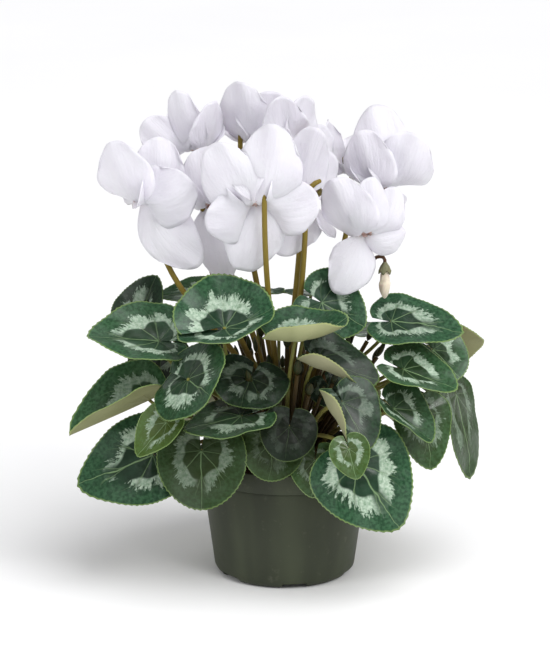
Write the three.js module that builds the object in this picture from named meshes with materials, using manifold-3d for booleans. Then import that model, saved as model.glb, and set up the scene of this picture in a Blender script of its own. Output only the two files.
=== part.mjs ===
// A potted cyclamen: a nursery pot filled with potting mix, a tuber, marbled heart-shaped
// leaves on their stalks, white swept-back flowers on their scapes, and one nodding bud.
// Millimetres, +Z up. The origin is the middle of the pot's foot, and the viewer is at -Y.
import * as THREE from "three";
import { mergeVertices } from "three/addons/utils/BufferGeometryUtils.js";
import Module from "manifold-3d";

const wasm = await Module();
wasm.setup();

// ---------------------------------------------------------------- driving dimensions
const GAP = 0.3; // kept between pieces that rest against each other
const UP = new THREE.Vector3(0, 0, 1);

const POT = {
  height: 93, // to the top of the rim
  rimRadius: 65,
  rimHeight: 15, // depth of the rim band
  bodyRadius: 63, // just under the rim band
  footRadius: 53.5,
  footRound: 7, // radius of the rounded bottom edge
  wall: 1.6,
  floor: 3.5, // height of the floor's underside over the ground
  footWidth: 9, // width of the ring that the pot stands on
  padRadius: 14, // of the flat pad in the middle of the foot
  notches: 6,
  notchWidth: 20,
  notchHeight: 4.2,
  firstNotch: -82, // azimuth of the notch at the front, in degrees
  drainRadius: 3.5,
  sides: 26,
};
const SOIL = { top: 82, crown: 3, wave: 0.8 };
const TUBER = { radius: 27, halfHeight: 15, middle: 80, sides: 14 };

const BLADE_THICKNESS = 0.8;
const WAVE = 0.04; // height of the margin's wave, as a share of the leaf's half width
const SINUS = 8; // half the angle between back lobes that stay apart, in degrees
const LEAF_STALK = { root: 1.8, tip: 1.4, sides: 4, steps: 4 };
const CROWN_RINGS = { outer: 22, inner: 16, heart: 9.5 }; // where stalks root on the tuber

const PETAL = { thickness: 0.9, widest: 0.55, neck: 0.3, blunt: 0.13, bow: 0.2, belly: 8 };
const TUBE = { length: 10.5, mouth: 5.2, back: 3.7, sides: 7 };
const CALYX = { wall: 0.8, reach: 6.5, sepals: 5 };
const SCAPE = { root: 2.1, neck: 1.6, sides: 5, steps: 4, rise: 0.4, drop: 0.42, hook: 8.6, bend: 13 };

const COLOURS = {
  pot: [0x474c3d, 0.55],
  soil: [0x2e2019, 1.0],
  tuber: [0x5a4332, 0.9],
  leaf: [0x1f4a33, 0.5],
  petal: [0xf4f1f8, 0.6],
  scape: [0x7a6a28, 0.5],
  bud: [0xeadfc8, 0.6],
};

// One row for each leaf. joint: where its stalk meets the blade. tip: from the joint to the
// leaf's point. face: which way its upper side looks. side and back: how far its flanks and
// its two back lobes reach from the joint. ring: where the stalk roots. The rest shapes the
// blade: sinus is half the angle between the back lobes, in degrees; cup raises the margin;
// fold makes a V along the midrib; droop bends the tip down, curlLeft and curlRight roll one
// side up, in degrees; round is for a leaf with a blunt tip.
const LEAVES = [
  { name: "leaf_01", joint: [-44, -52, 202], tip: [37, 4, 8], face: [0, -0.42, 0.9],
    side: 37, back: 37, sinus: 3, cup: 0.3, round: true, fold: 0.3, ring: "inner" },
  { name: "leaf_02", joint: [-93, -30, 186], tip: [-52, -4, 5], face: [0, -0.36, 0.93],
    side: 36, back: 24, fold: 0.25, ring: "inner" },
  { name: "leaf_03", joint: [-109, 19, 190], tip: [13, 6, 32], face: [-0.55, -0.8, 0.3],
    side: 22, fold: 0.3, ring: "inner" },
  { name: "leaf_04", joint: [-56, 33, 208], tip: [-41, -4, -3], face: [0, -0.25, 0.96],
    side: 20, fold: 0.1, ring: "inner" },
  { name: "leaf_06", joint: [8, -64, 198], tip: [38, 4, 2], face: [0, -0.15, 0.98],
    side: 33, back: 30, sinus: 3, cup: 0.4, ring: "inner" },
  { name: "leaf_07", joint: [27, -25, 214], tip: [32, -4, -17], face: [0.1, -0.88, 0.46],
    side: 27, back: 22, ring: "inner" },
  { name: "leaf_08", joint: [79, -15, 197], tip: [53, -7, -2], face: [0.05, -0.4, 0.9],
    side: 28, back: 20, fold: 0.1, droop: 12, ring: "inner" },
  { name: "leaf_09", joint: [111, 4, 170], tip: [21, -12, -18], face: [0.15, -0.75, 0.65],
    side: 22, round: true, ring: "outer" },
  { name: "leaf_10", joint: [87, -40, 167], tip: [39, -10, -12], face: [0.05, -0.3, 0.95],
    side: 27, back: 22, fold: 0.25, ring: "inner" },
  { name: "leaf_11", joint: [120, 40, 165], tip: [32, -4, 3], face: [0.15, 0.75, 0.65],
    side: 26, back: 16, ring: "outer" },
  { name: "leaf_12", joint: [24, -60, 182], tip: [44, -6, -16], face: [0.05, -0.5, 0.86],
    side: 27, back: 15, curlRight: 100, ring: "inner" },
  { name: "leaf_13", joint: [41, -94, 158], tip: [19, -14, -31], face: [0.3, -0.7, 0.65],
    side: 28, back: 17, curlRight: 100, ring: "outer" },
  { name: "leaf_15", joint: [79, -60, 143], tip: [28, -8, -23], face: [0.57, -0.35, 0.74],
    side: 26, back: 18, fold: 0.4, ring: "outer" },
  { name: "leaf_16", joint: [101, -42, 134], tip: [7, -10, -40], face: [0.35, -0.85, 0.35],
    side: 22, ring: "outer" },
  { name: "leaf_17", joint: [128, -9, 139], tip: [18, -12, -61], face: [0.85, -0.45, 0.25],
    side: 24, back: 14, droop: 14, ring: "outer" },
  { name: "leaf_18", joint: [114, 14, 130], tip: [27, -6, -14], face: [0.35, -0.3, 0.88],
    side: 24, ring: "outer" },
  { name: "leaf_19", joint: [52, -78, 106], tip: [32, -10, -46], face: [0.15, -0.93, 0.33],
    side: 37, back: 24, droop: 10, ring: "outer" },
  { name: "leaf_20", joint: [45, -122, 132], tip: [6, -8, -20], face: [0.05, -0.95, 0.3],
    side: 14, back: 13, fold: 0.15, ring: "outer" },
  { name: "leaf_21", joint: [22, -73, 108], tip: [-2, -9, -26], face: [-0.05, -0.88, 0.45],
    side: 19, ring: "outer" },
  { name: "leaf_22", joint: [3, -79, 135], tip: [-4, -12, -22], face: [0, -0.85, 0.5],
    side: 19, back: 15, cup: -0.1, round: true, ring: "outer" },
  { name: "leaf_23", joint: [-8, -68, 120], tip: [-4, -12, -26], face: [-0.05, -0.88, 0.45],
    side: 21, back: 11, round: true, ring: "outer" },
  { name: "leaf_24", joint: [-61, -70, 114], tip: [-1, -13, -41], face: [-0.1, -0.95, 0.3],
    side: 29, back: 21, cup: -0.1, round: true, ring: "outer" },
  { name: "leaf_25", joint: [-97, -52, 105], tip: [-55, -6, -22], face: [-0.15, -0.85, 0.5],
    side: 33, back: 16, ring: "outer" },
  { name: "leaf_26", joint: [-86, -72, 136], tip: [-21, -8, -23], face: [-0.55, -0.75, 0.4],
    side: 17, back: 14, fold: 0.3, ring: "outer" },
  { name: "leaf_27", joint: [-100, -34, 142], tip: [-59, -8, -25], face: [-0.3, -0.15, 0.95],
    side: 27, back: 20, fold: 0.8, ring: "outer" },
  { name: "leaf_29", joint: [-91, 6, 169], tip: [-28, -6, -25], face: [-0.4, -0.7, 0.6],
    side: 24, ring: "outer" },
  { name: "leaf_30", joint: [-70, -76, 170], tip: [17, -34, -3], face: [-0.62, -0.48, 0.61],
    side: 32, back: 29, sinus: 3, round: true, ring: "inner" },
  { name: "leaf_31", joint: [-25, -56, 165], tip: [-8, -20, -16], face: [0, -0.75, 0.65],
    side: 29, back: 20, ring: "inner" },
  { name: "leaf_32", joint: [-32, -72, 141], tip: [-41, -9, -8], face: [0, -0.3, 0.95],
    side: 26, back: 30, curlLeft: 20, ring: "outer" },
  { name: "leaf_35", joint: [32, -33, 153], tip: [9, -14, -14], face: [0, -0.75, 0.65],
    side: 16, ring: "inner" },
];

// Leaves of the far side, two on one stalk foot, set round the dome by a rule.
const FAR_LEAVES = {
  pairs: 5,
  from: 28, // bearings of the first and the last, in degrees
  to: 147,
  low: { height: 112, rise: 12, reach: 92, draw: 0, size: 44, dip: 42 },
  high: { height: 170, rise: 28, reach: 76, draw: 18, size: 39, dip: 8 },
  seed: 7,
};

// One row for each flower. mouth: the middle of its opening. axis: which way the opening
// looks. petals: from the mouth to each petal's tip, the petal's width and, for one that
// twists, the way that its side turns to face. beside: where the scape passes the mouth, for
// one that doesn't stand in the widest gap between the petals.
const FLOWERS = [
  { name: "flower_1", mouth: [-105, -12, 287], axis: [0.25, -0.35, -0.9], beside: [1, 0.3, 0], petals: [
    { tip: [-22, -2, 45], width: 44 },
    { tip: [12, 12, 46], face: [0, -1, 0.2], width: 38 },
    { tip: [36, -8, 20], face: [0, -1, 0.1], width: 44 },
    { tip: [44, -7, -45], face: [0, -1, 0.1], width: 38 },
    { tip: [14, 32, 28], width: 32 }] },
  { name: "flower_2", mouth: [-66, 42, 315], axis: [0.1, -0.25, -0.96], petals: [
    { tip: [-38, -4, 24], face: [0, -1, 0.3], width: 34 },
    { tip: [-14, -4, 46], width: 28 },
    { tip: [14, -4, 38], width: 36 },
    { tip: [12, 32, 20], width: 30 },
    { tip: [-14, 30, 28], width: 34 }] },
  { name: "flower_3", mouth: [-54, 10, 279], axis: [0.1, -0.6, -0.75], petals: [
    { tip: [-6, 4, 44], face: [0, -1, 0.1], width: 40 },
    { tip: [10, -8, -54], face: [0, -1, 0.1], width: 32 },
    { tip: [-32, 10, 20], width: 32 },
    { tip: [27, 10, 34], width: 34 },
    { tip: [34, 14, -12], width: 30 }] },
  { name: "flower_4", mouth: [-21, -42, 291], axis: [0, -0.35, -0.94], beside: [0.75, -0.8, 0], petals: [
    { tip: [11, 6, 58], face: [-0.2, -1, 0.1], width: 46 },
    { tip: [44, -2, 9], face: [0, -1, 0.1], width: 42 },
    { tip: [-9, 10, -50], face: [0, -1, 0.1], width: 42 },
    { tip: [-37, -2, -9], face: [0, -1, 0.1], width: 38 },
    { tip: [-30, 8, 44], face: [-0.2, -1, 0.2], width: 42 }] },
  { name: "flower_5", mouth: [-25, 52, 320], axis: [0, -0.3, -0.95], petals: [
    { tip: [-10, -4, 46], width: 42 },
    { tip: [16, -2, 38], face: [0, -1, 0.1], width: 40 },
    { tip: [30, 14, 16], width: 32 },
    { tip: [6, 36, 26], width: 36 },
    { tip: [-16, 32, 10], width: 30 }] },
  { name: "flower_6", mouth: [13, 28, 318], axis: [-0.6, 0.25, -0.75], petals: [
    { tip: [-16, -2, 40], face: [0, -1, 0.1], width: 32 },
    { tip: [4, 14, 38], width: 30 },
    { tip: [-32, 4, 10], face: [0, -1, 0.1], width: 30 },
    { tip: [-4, -2, -36], width: 32 },
    { tip: [20, 24, 10], width: 30 }] },
  { name: "flower_7", mouth: [16, -10, 290], axis: [-0.7, 0.1, -0.7], petals: [
    { tip: [8, -4, 52], face: [0, -1, 0.1], width: 32 },
    { tip: [-18, 2, 40], width: 32 },
    { tip: [-16, -4, -44], face: [0, -1, 0.1], width: 38 },
    { tip: [22, 4, -30], width: 28 },
    { tip: [20, 22, 28], width: 30 }] },
  { name: "flower_8", mouth: [71, 10, 292], axis: [0.1, -0.35, -0.93], petals: [
    { tip: [-15, -6, 45], width: 38 },
    { tip: [-4, 18, 60], face: [0, -1, 0.1], width: 44 },
    { tip: [23, -4, 43], face: [0, -1, 0.1], width: 44 },
    { tip: [13, 10, -26], face: [0, -1, 0.1], width: 28 },
    { tip: [-22, 26, 28], width: 34 }] },
  { name: "flower_9", mouth: [59, -20, 264], axis: [0.1, -0.5, -0.85], petals: [
    { tip: [-24, -8, 44], width: 41 },
    { tip: [4, -4, 44], width: 29 },
    { tip: [22, 10, 34], face: [0, -1, 0.1], width: 26 },
    { tip: [-24, -8, -41], face: [0, -1, 0.1], width: 32 },
    { tip: [28, 6, 4], face: [0, -1, 0.1], width: 24 }] },
  { name: "flower_10", mouth: [51, 64, 294], axis: [0.1, 0.2, -0.97], petals: [
    { tip: [-20, -4, 40], width: 34 },
    { tip: [14, -4, 44], width: 34 },
    { tip: [36, 14, 18], width: 34 },
    { tip: [4, 38, 20], width: 36 },
    { tip: [-32, 16, 14], width: 34 }] },
];
const BUD = {
  mouth: [59, -4, 233], // where its scape passes below the arch
  arch: [70, -5, 244],
  neck: [74, -5, 239],
  length: 26,
  radius: 4.8,
  stem: 1.3,
};

// ---------------------------------------------------------------- solids and meshes
const evenly = (steps) => Array.from({ length: steps + 1 }, (_, i) => i / steps);
const vector = (xyz) => new THREE.Vector3(...xyz);
const radians = THREE.MathUtils.degToRad;
const smooth = (x) => THREE.MathUtils.smoothstep(x, 0, 1);

function solidOf(geometry) {
  const bare = geometry.index ? geometry.clone() : geometry;
  bare.deleteAttribute("normal");
  bare.deleteAttribute("uv");
  const merged = mergeVertices(bare, 1e-4);
  const mesh = new wasm.Mesh({
    numProp: 3,
    vertProperties: new Float32Array(merged.attributes.position.array),
    triVerts: new Uint32Array(merged.index.array),
  });
  return new wasm.Manifold(mesh);
}

function solidOfFaces(points, triangles) {
  const geometry = new THREE.BufferGeometry().setFromPoints(points);
  geometry.setIndex(triangles);
  return solidOf(geometry);
}

function geometryOf(solid) {
  const { vertProperties, triVerts, numProp } = solid.getMesh();
  const position = new Float32Array((vertProperties.length / numProp) * 3);
  for (let i = 0; i < position.length / 3; i++)
    position.set(vertProperties.subarray(i * numProp, i * numProp + 3), i * 3);
  const geometry = new THREE.BufferGeometry();
  geometry.setAttribute("position", new THREE.BufferAttribute(position, 3));
  geometry.setIndex(new THREE.BufferAttribute(new Uint32Array(triVerts), 1));
  geometry.computeVertexNormals();
  return geometry;
}

const materials = Object.fromEntries(
  Object.entries(COLOURS).map(([name, [color, roughness]]) => [
    name,
    new THREE.MeshStandardMaterial({ name, color, roughness, metalness: 0 }),
  ]),
);

function meshOf(name, solid, material, matrix = new THREE.Matrix4()) {
  const mesh = new THREE.Mesh(geometryOf(solid), materials[material]);
  mesh.name = name;
  mesh.applyMatrix4(matrix);
  return mesh;
}

const moved = (solid, matrix) => solid.transform([...matrix.elements]);

// The largest body of a solid: a cut can leave a scrap loose, and the scrap is dropped.
const largest = (solid) =>
  solid.decompose().reduce((best, body) => (body.volume() > best.volume() ? body : best));

// A turned shape about +Z from its [radius, height] outline, which starts and ends on the axis.
function turned(profile, sides) {
  const points = profile.map(([radius, height]) => new THREE.Vector2(radius, height));
  return new THREE.LatheGeometry(points, sides).rotateX(Math.PI / 2);
}

// The triangles between rows of points. A row of one point is a pole, and a row may have
// twice as many steps as the row before it.
function triangleRows(rows) {
  const triangles = [];
  let start = 0;
  for (let i = 0; i < rows.length - 1; i++) {
    const next = start + rows[i].length;
    const steps = rows[i].length - 1;
    const ratio = (rows[i + 1].length - 1) / Math.max(steps, 1);
    for (let j = 0; j < rows[i + 1].length - 1; j++) {
      const inner = start + (steps ? Math.floor((j + 1) / ratio) : 0);
      const before = start + (steps ? Math.floor(j / ratio) : 0);
      triangles.push(before, next + j, next + j + 1);
      if (inner !== before) triangles.push(before, next + j + 1, inner);
    }
    start = next;
  }
  return triangles;
}

// A sheet of even thickness about rows of points, with both faces split into triangles alike.
function sheet(rows, thickness) {
  const points = rows.flat();
  const triangles = triangleRows(rows);
  const middle = new THREE.BufferGeometry().setFromPoints(points);
  middle.setIndex(triangles);
  middle.computeVertexNormals();
  const normals = middle.attributes.normal;
  const faces = points.flatMap((point, i) => {
    const half = new THREE.Vector3().fromBufferAttribute(normals, i).setLength(thickness / 2);
    return [point.clone().add(half), point.clone().sub(half)];
  });
  const solid = [];
  const edges = new Map();
  for (let k = 0; k < triangles.length; k += 3) {
    const corners = triangles.slice(k, k + 3);
    const [a, b, c] = corners;
    solid.push(2 * a, 2 * b, 2 * c, 2 * a + 1, 2 * c + 1, 2 * b + 1);
    corners.forEach((from, n) => edges.set(`${from} ${corners[(n + 1) % 3]}`, [from, corners[(n + 1) % 3]]));
  }
  for (const [from, to] of edges.values()) {
    if (edges.has(`${to} ${from}`)) continue;
    solid.push(2 * from, 2 * from + 1, 2 * to + 1);
    solid.push(2 * from, 2 * to + 1, 2 * to);
  }
  return solidOfFaces(faces, solid);
}

// A round stalk of changing radius along a curve, with a ring of points at each station.
function stalk(curve, stations, sides, radiusAt) {
  const points = [];
  const normal = new THREE.Vector3(1, 0, 0);
  for (const station of stations) {
    const centre = curve.getPoint(station);
    const tangent = curve.getTangent(station);
    normal.addScaledVector(tangent, -normal.dot(tangent)).normalize();
    const binormal = tangent.clone().cross(normal);
    for (let k = 0; k < sides; k++) {
      const angle = (2 * Math.PI * k) / sides;
      const out = normal.clone().multiplyScalar(Math.cos(angle));
      out.addScaledVector(binormal, Math.sin(angle));
      points.push(centre.clone().addScaledVector(out, radiusAt(station)));
    }
  }
  const steps = stations.length - 1;
  const triangles = [];
  for (let i = 0; i < steps; i++)
    for (let k = 0; k < sides; k++) {
      const [a, b] = [i * sides + k, i * sides + ((k + 1) % sides)];
      triangles.push(a, b, b + sides, a, b + sides, a + sides);
    }
  const end = steps * sides;
  for (let k = 1; k < sides - 1; k++) {
    triangles.push(0, k + 1, k);
    triangles.push(end, end + k, end + k + 1);
  }
  return solidOfFaces(points, triangles);
}

// ---------------------------------------------------------------- pot, soil and tuber
function arc(centre, radius, from, to, steps) {
  return Array.from({ length: steps + 1 }, (_, i) => {
    const angle = radians(from + ((to - from) * i) / steps);
    return [centre[0] + radius * Math.cos(angle), centre[1] + radius * Math.sin(angle)];
  });
}

const rimFoot = POT.height - POT.rimHeight;
const slope = (POT.bodyRadius - POT.footRadius) / (rimFoot - POT.footRound);
const innerRadius = (height) =>
  POT.footRadius - POT.wall + slope * (height - POT.footRound);

function pot() {
  const lip = POT.wall / 2;
  const shelf = innerRadius(rimFoot);
  const outline = [
    [0, 0],
    [POT.padRadius, 0],
    [POT.padRadius + 2, POT.floor],
    [POT.footRadius - POT.footRound - POT.footWidth, POT.floor],
    [POT.footRadius - POT.footRound - POT.footWidth + 2, 0],
    ...arc([POT.footRadius - POT.footRound, POT.footRound], POT.footRound, -90, 0, 3),
    [POT.bodyRadius, rimFoot],
    [POT.rimRadius - 0.6, rimFoot],
    [POT.rimRadius, POT.height - lip],
    [POT.rimRadius - lip, POT.height],
    [POT.rimRadius - POT.wall, POT.height - lip],
    [shelf, rimFoot],
    [innerRadius(POT.footRound + 4), POT.footRound + 4],
    [innerRadius(POT.footRound) - 4, POT.floor + POT.wall],
    [0, POT.floor + POT.wall],
  ];
  let made = solidOf(turned(outline, POT.sides));
  const notch = new THREE.BoxGeometry(40, POT.notchWidth, 2 * POT.notchHeight);
  const drain = new THREE.CylinderGeometry(POT.drainRadius, POT.drainRadius, 12, 8);
  drain.rotateX(Math.PI / 2);
  const notchAt = POT.footRadius - POT.footRound + 8;
  const drainAt = POT.footRadius - POT.footRound - POT.footWidth - 6;
  for (let i = 0; i < POT.notches; i++) {
    const turn = new THREE.Matrix4().makeRotationZ(
      radians(POT.firstNotch + (360 * i) / POT.notches),
    );
    const cut = notch.clone().translate(notchAt, 0, 0).applyMatrix4(turn);
    const hole = drain.clone().translate(drainAt, 0, POT.floor).applyMatrix4(turn);
    made = made.subtract(solidOf(cut)).subtract(solidOf(hole));
  }
  return made;
}

const swollenTuber = (by) => {
  const rise = (height) => Math.sqrt(1 - height * height);
  const heights = [-1, -0.8, -0.4, 0, 0.35, 0.65, 0.87, 1];
  const outline = heights.map((height) => [
    (TUBER.radius + by) * rise(height),
    TUBER.middle + (TUBER.halfHeight + by) * height,
  ]);
  return solidOf(turned(outline, TUBER.sides));
};

// The tuber's own surface over a point of the crown.
function crownHeight(radius) {
  const share = radius / TUBER.radius;
  return TUBER.middle + TUBER.halfHeight * Math.sqrt(1 - share * share);
}

function soil() {
  const fill = (height) => innerRadius(height) - GAP;
  const bottom = POT.floor + POT.wall + GAP;
  const outline = [
    [0, bottom],
    [fill(POT.footRound) - 4, bottom],
    [fill(POT.footRound + 4), POT.footRound + 4],
    [fill(rimFoot), rimFoot],
    [fill(rimFoot) + 0.5, SOIL.top],
    [40, SOIL.top + 2],
    [0, SOIL.top + SOIL.crown],
  ];
  const geometry = turned(outline, POT.sides);
  const position = geometry.attributes.position;
  for (let i = 0; i < position.count; i++) {
    const [x, y, z] = [position.getX(i), position.getY(i), position.getZ(i)];
    const rough = Math.sin(x * 0.7 + 1) * Math.cos(y * 0.9);
    if (z > SOIL.top + 0.5) position.setZ(i, z + SOIL.wave * rough);
  }
  return solidOf(geometry).subtract(swollenTuber(GAP));
}

// ---------------------------------------------------------------- leaves
// Distance from the joint to the margin, at an angle from the midrib.
function reachAt(leaf, angle, end) {
  const away = Math.abs(angle);
  const { side, back = 0.85 * side, round = false } = leaf;
  const point = (vector(leaf.tip).length() - side) * Math.exp(-away / (round ? 0.9 : 0.5));
  const lobe = (side - back) * smooth((away - 1.5) / 1.3);
  return (side + point - lobe) * (1 - 0.4 * Math.pow(away / end, 8));
}

// A flat distance rolled into a curl that tightens outwards: how far it runs and rises.
function curled(distance, over, turn, power) {
  const steps = 6;
  const step = Math.abs(distance) / steps;
  const out = { run: 0, rise: 0, angle: 0 };
  for (let i = 0; i < steps; i++) {
    out.angle = turn * Math.pow((step * (i + 0.5)) / over, power);
    out.run += step * Math.cos(out.angle);
    out.rise += step * Math.sin(out.angle);
  }
  return out;
}

// A point of the blade's middle surface. The joint is at the origin, +X runs to the tip, and
// +Z is the upper side.
function bladePoint(leaf, share, angle, end) {
  const { side, cup = 0, fold = 0, droop = 0, curlLeft = 0, curlRight = 0, phase = 0 } = leaf;
  const reach = share * reachAt(leaf, angle, end);
  const [x, y] = [reach * Math.cos(angle), reach * Math.sin(angle)];
  const lift =
    cup * reach * (reach / side) * 0.7 +
    fold * Math.abs(y) +
    WAVE * side * share * share * Math.sin(5 * angle + phase);
  const across = curled(y, side, radians(y > 0 ? curlLeft : curlRight), 2);
  const along = curled(x, vector(leaf.tip).length(), radians(x > 0 ? droop : 0), 1);
  const height = across.rise + lift * Math.cos(across.angle);
  return new THREE.Vector3(
    Math.sign(x) * (along.run + height * Math.sin(along.angle)),
    Math.sign(y) * (across.run - lift * Math.sin(across.angle)),
    height * Math.cos(along.angle) - along.rise,
  );
}

// A blade's rings: how far each lies out to the margin, and its sectors.
const RINGS = [
  [0, 0],
  [0.55, 7],
  [1, 14],
];

function blade(leaf) {
  const end = Math.PI - radians(leaf.sinus ?? SINUS);
  const rows = RINGS.map(([share, sectors]) =>
    Array.from({ length: sectors + 1 }, (_, j) =>
      bladePoint(leaf, share, sectors ? end * ((2 * j) / sectors - 1) : 0, end),
    ),
  );
  return sheet(rows, BLADE_THICKNESS);
}

function leafMatrix(leaf) {
  const x = vector(leaf.tip).normalize();
  const z = vector(leaf.face);
  z.addScaledVector(x, -z.dot(x)).normalize();
  const y = z.clone().cross(x);
  return new THREE.Matrix4().makeBasis(x, y, z).setPosition(...leaf.joint);
}

// The stalk leaves the tuber outwards and arrives at the joint from behind and below.
function leafStalkCurve(leaf, root) {
  const joint = vector(leaf.joint);
  const span = joint.distanceTo(root);
  const outwards = new THREE.Vector3(root.x, root.y, 0).normalize();
  const start = outwards.multiplyScalar(0.35).add(UP).setLength(0.4 * span);
  const arrive = new THREE.Vector3(-0.25, 0, -0.97).transformDirection(leafMatrix(leaf));
  arrive.multiplyScalar(0.3 * span);
  return new THREE.CubicBezierCurve3(root, root.clone().add(start), joint.clone().add(arrive), joint);
}

function leafSolid(leaf, root) {
  const matrix = leafMatrix(leaf);
  const { steps, sides } = LEAF_STALK;
  const tube = stalk(leafStalkCurve(leaf, root), evenly(steps), sides, (t) =>
    THREE.MathUtils.lerp(LEAF_STALK.root, LEAF_STALK.tip, t),
  );
  return moved(blade(leaf), matrix).add(tube).subtract(swollenTuber(GAP));
}

// Roots: each ring's stalks stand in the order of the bearings that they leave for.
function rootsOf(rows, radius) {
  const place = (row) => row.joint ?? row.mouth;
  const bearing = (row) => Math.atan2(place(row)[1], place(row)[0]);
  const sorted = [...rows].sort((a, b) => bearing(a) - bearing(b));
  const step = (2 * Math.PI) / sorted.length;
  const shift = sorted.reduce((sum, row, k) => sum + bearing(row) - k * step, 0) / sorted.length;
  const roots = new Map();
  sorted.forEach((row, k) => {
    const angle = shift + k * step;
    const height = crownHeight(radius) - 2;
    roots.set(row, new THREE.Vector3(radius * Math.cos(angle), radius * Math.sin(angle), height));
  });
  return roots;
}

function seeded(seed) {
  let state = seed;
  return () => {
    state = (state * 16807) % 2147483647;
    return state / 2147483647;
  };
}

// The far side's leaves, by a rule: low and high ones at even bearings, with every second
// one raised and drawn in, and each a little out of line.
function farLeaves() {
  const random = seeded(FAR_LEAVES.seed);
  const jitter = (by) => by * (2 * random() - 1);
  const { pairs, from, to } = FAR_LEAVES;
  return Array.from({ length: pairs }, (_, i) =>
    [FAR_LEAVES.low, FAR_LEAVES.high].map((tier, high) => {
      const bearing = radians(from + ((i + 0.35 + 0.35 * high) / pairs) * (to - from) + jitter(3));
      const dip = radians(tier.dip + jitter(5));
      const reach = tier.reach - tier.draw * (i % 2);
      const size = tier.size + jitter(3);
      const [c, s] = [Math.cos(bearing), Math.sin(bearing)];
      return {
        joint: [reach * c, reach * s, tier.height + tier.rise * (i % 2) + jitter(3)],
        tip: [size * Math.cos(dip) * c, size * Math.cos(dip) * s, -size * Math.sin(dip)],
        face: [0.6 * c, 0.6 * s, 0.8],
        side: 0.65 * size,
        cup: 0.08,
        phase: 6 * random(),
      };
    }),
  );
}

// ---------------------------------------------------------------- flowers
function petalHalfWidth(share, width) {
  const open = Math.sin((Math.PI / 2) * Math.min(1, share / PETAL.widest));
  const end = Math.max(0, (share - PETAL.widest) / (1 - PETAL.widest));
  const body = PETAL.neck + (1 - PETAL.neck) * Math.pow(open, 2);
  return (width / 2) * body * Math.sqrt(1 - 0.6 * Math.pow(end, 2.4));
}

// A petal's rows: how far each lies along it, and its steps across.
const PETAL_ROWS = [
  [0, 1],
  [0.38, 2],
  [0.74, 4],
  [1, 4],
];

// The petals in the order that their tips go round the axis. Their roots stand evenly round
// the mouth, in the same order.
function rootedPetals(flower, axis) {
  const zero = new THREE.Vector3(1, 0, 0).addScaledVector(axis, -axis.x).normalize();
  const quarter = axis.clone().cross(zero);
  const outwards = (turn) =>
    zero.clone().multiplyScalar(Math.cos(turn)).addScaledVector(quarter, Math.sin(turn));
  const turned = flower.petals
    .map((row) => ({ row, turn: Math.atan2(vector(row.tip).dot(quarter), vector(row.tip).dot(zero)) }))
    .sort((a, b) => a.turn - b.turn);
  const step = (2 * Math.PI) / turned.length;
  const shift = turned.reduce((sum, { turn }, k) => sum + turn - k * step, 0) / turned.length;
  const gap = ({ turn }, k) => (turned[k + 1]?.turn ?? turned[0].turn + 2 * Math.PI) - turn;
  const widest = turned.map(gap).indexOf(Math.max(...turned.map(gap)));
  return {
    petals: turned.map(({ row }, k) => ({ ...row, out: outwards(shift + k * step) })),
    exit: outwards(shift + (widest + 0.5) * step), // between the two tips furthest apart
  };
}

// One petal, about the flower's mouth. It leaves the tube's edge, turns back and sweeps to
// its tip, so that its inner side comes to look outwards.
function petal({ tip: end, face, width, out }, axis) {
  const tip = vector(end);
  const outAtTip = tip.clone().addScaledVector(axis, -tip.dot(axis)).normalize();
  const heading = tip.clone().normalize();
  const inner = outAtTip.clone().multiplyScalar(-heading.dot(axis));
  inner.addScaledVector(axis, heading.dot(outAtTip));
  const root = out.clone().multiplyScalar(TUBE.mouth - 1).addScaledVector(axis, -1.5);
  const lip = root.clone().addScaledVector(axis, 6).addScaledVector(out, 3);
  const belly = tip.clone().multiplyScalar(0.5).addScaledVector(inner, PETAL.belly);
  const curve = new THREE.CubicBezierCurve3(root, lip, belly, tip);
  const sideAtRoot = out.clone().cross(axis);
  const sideAtTip = face ? heading.cross(vector(face)) : outAtTip.clone().cross(axis);
  sideAtTip.multiplyScalar(Math.sign(sideAtTip.dot(sideAtRoot)));
  const rows = PETAL_ROWS.map(([along, across]) =>
    Array.from({ length: across + 1 }, (_, j) => {
      const v = (2 * j) / across - 1;
      const share = along * (1 - PETAL.blunt * v * v * along * along);
      const tangent = curve.getTangent(share);
      const side = sideAtRoot.clone().lerp(sideAtTip, smooth(share * 1.4));
      side.addScaledVector(tangent, -side.dot(tangent)).normalize();
      const half = petalHalfWidth(along, width);
      const point = curve.getPoint(share).addScaledVector(side, half * v);
      return point.addScaledVector(side.cross(tangent), -PETAL.bow * half * v * v);
    }),
  );
  return sheet(rows, PETAL.thickness);
}

const alignedTo = (axis) =>
  new THREE.Matrix4().makeRotationFromQuaternion(
    new THREE.Quaternion().setFromUnitVectors(UP, axis.clone().negate()),
  );

function scapeCurve(mouth, axis, exit, root) {
  const neck = mouth.clone().addScaledVector(axis, -TUBE.length - GAP - CALYX.wall / 2);
  const beside = mouth.clone().addScaledVector(exit, SCAPE.hook);
  const span = beside.distanceTo(root);
  const path = new THREE.CurvePath();
  path.add(new THREE.CubicBezierCurve3(
    root,
    root.clone().addScaledVector(UP, SCAPE.rise * span),
    beside.clone().addScaledVector(UP, -SCAPE.drop * span),
    beside,
  ));
  path.add(new THREE.CubicBezierCurve3(
    beside,
    beside.clone().addScaledVector(UP, SCAPE.bend),
    neck.clone().addScaledVector(axis, -SCAPE.bend),
    neck,
  ));
  return path;
}

// Stations along a scape: even steps up its long rise, and as many round its short hook.
function scapeStations(curve) {
  const [rise, hook] = curve.curves.map((piece) => piece.getLength());
  const share = rise / (rise + hook);
  const steps = evenly(SCAPE.steps);
  return [...steps.map((t) => t * share), ...steps.slice(1).map((t) => share + t * (1 - share))];
}

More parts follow.
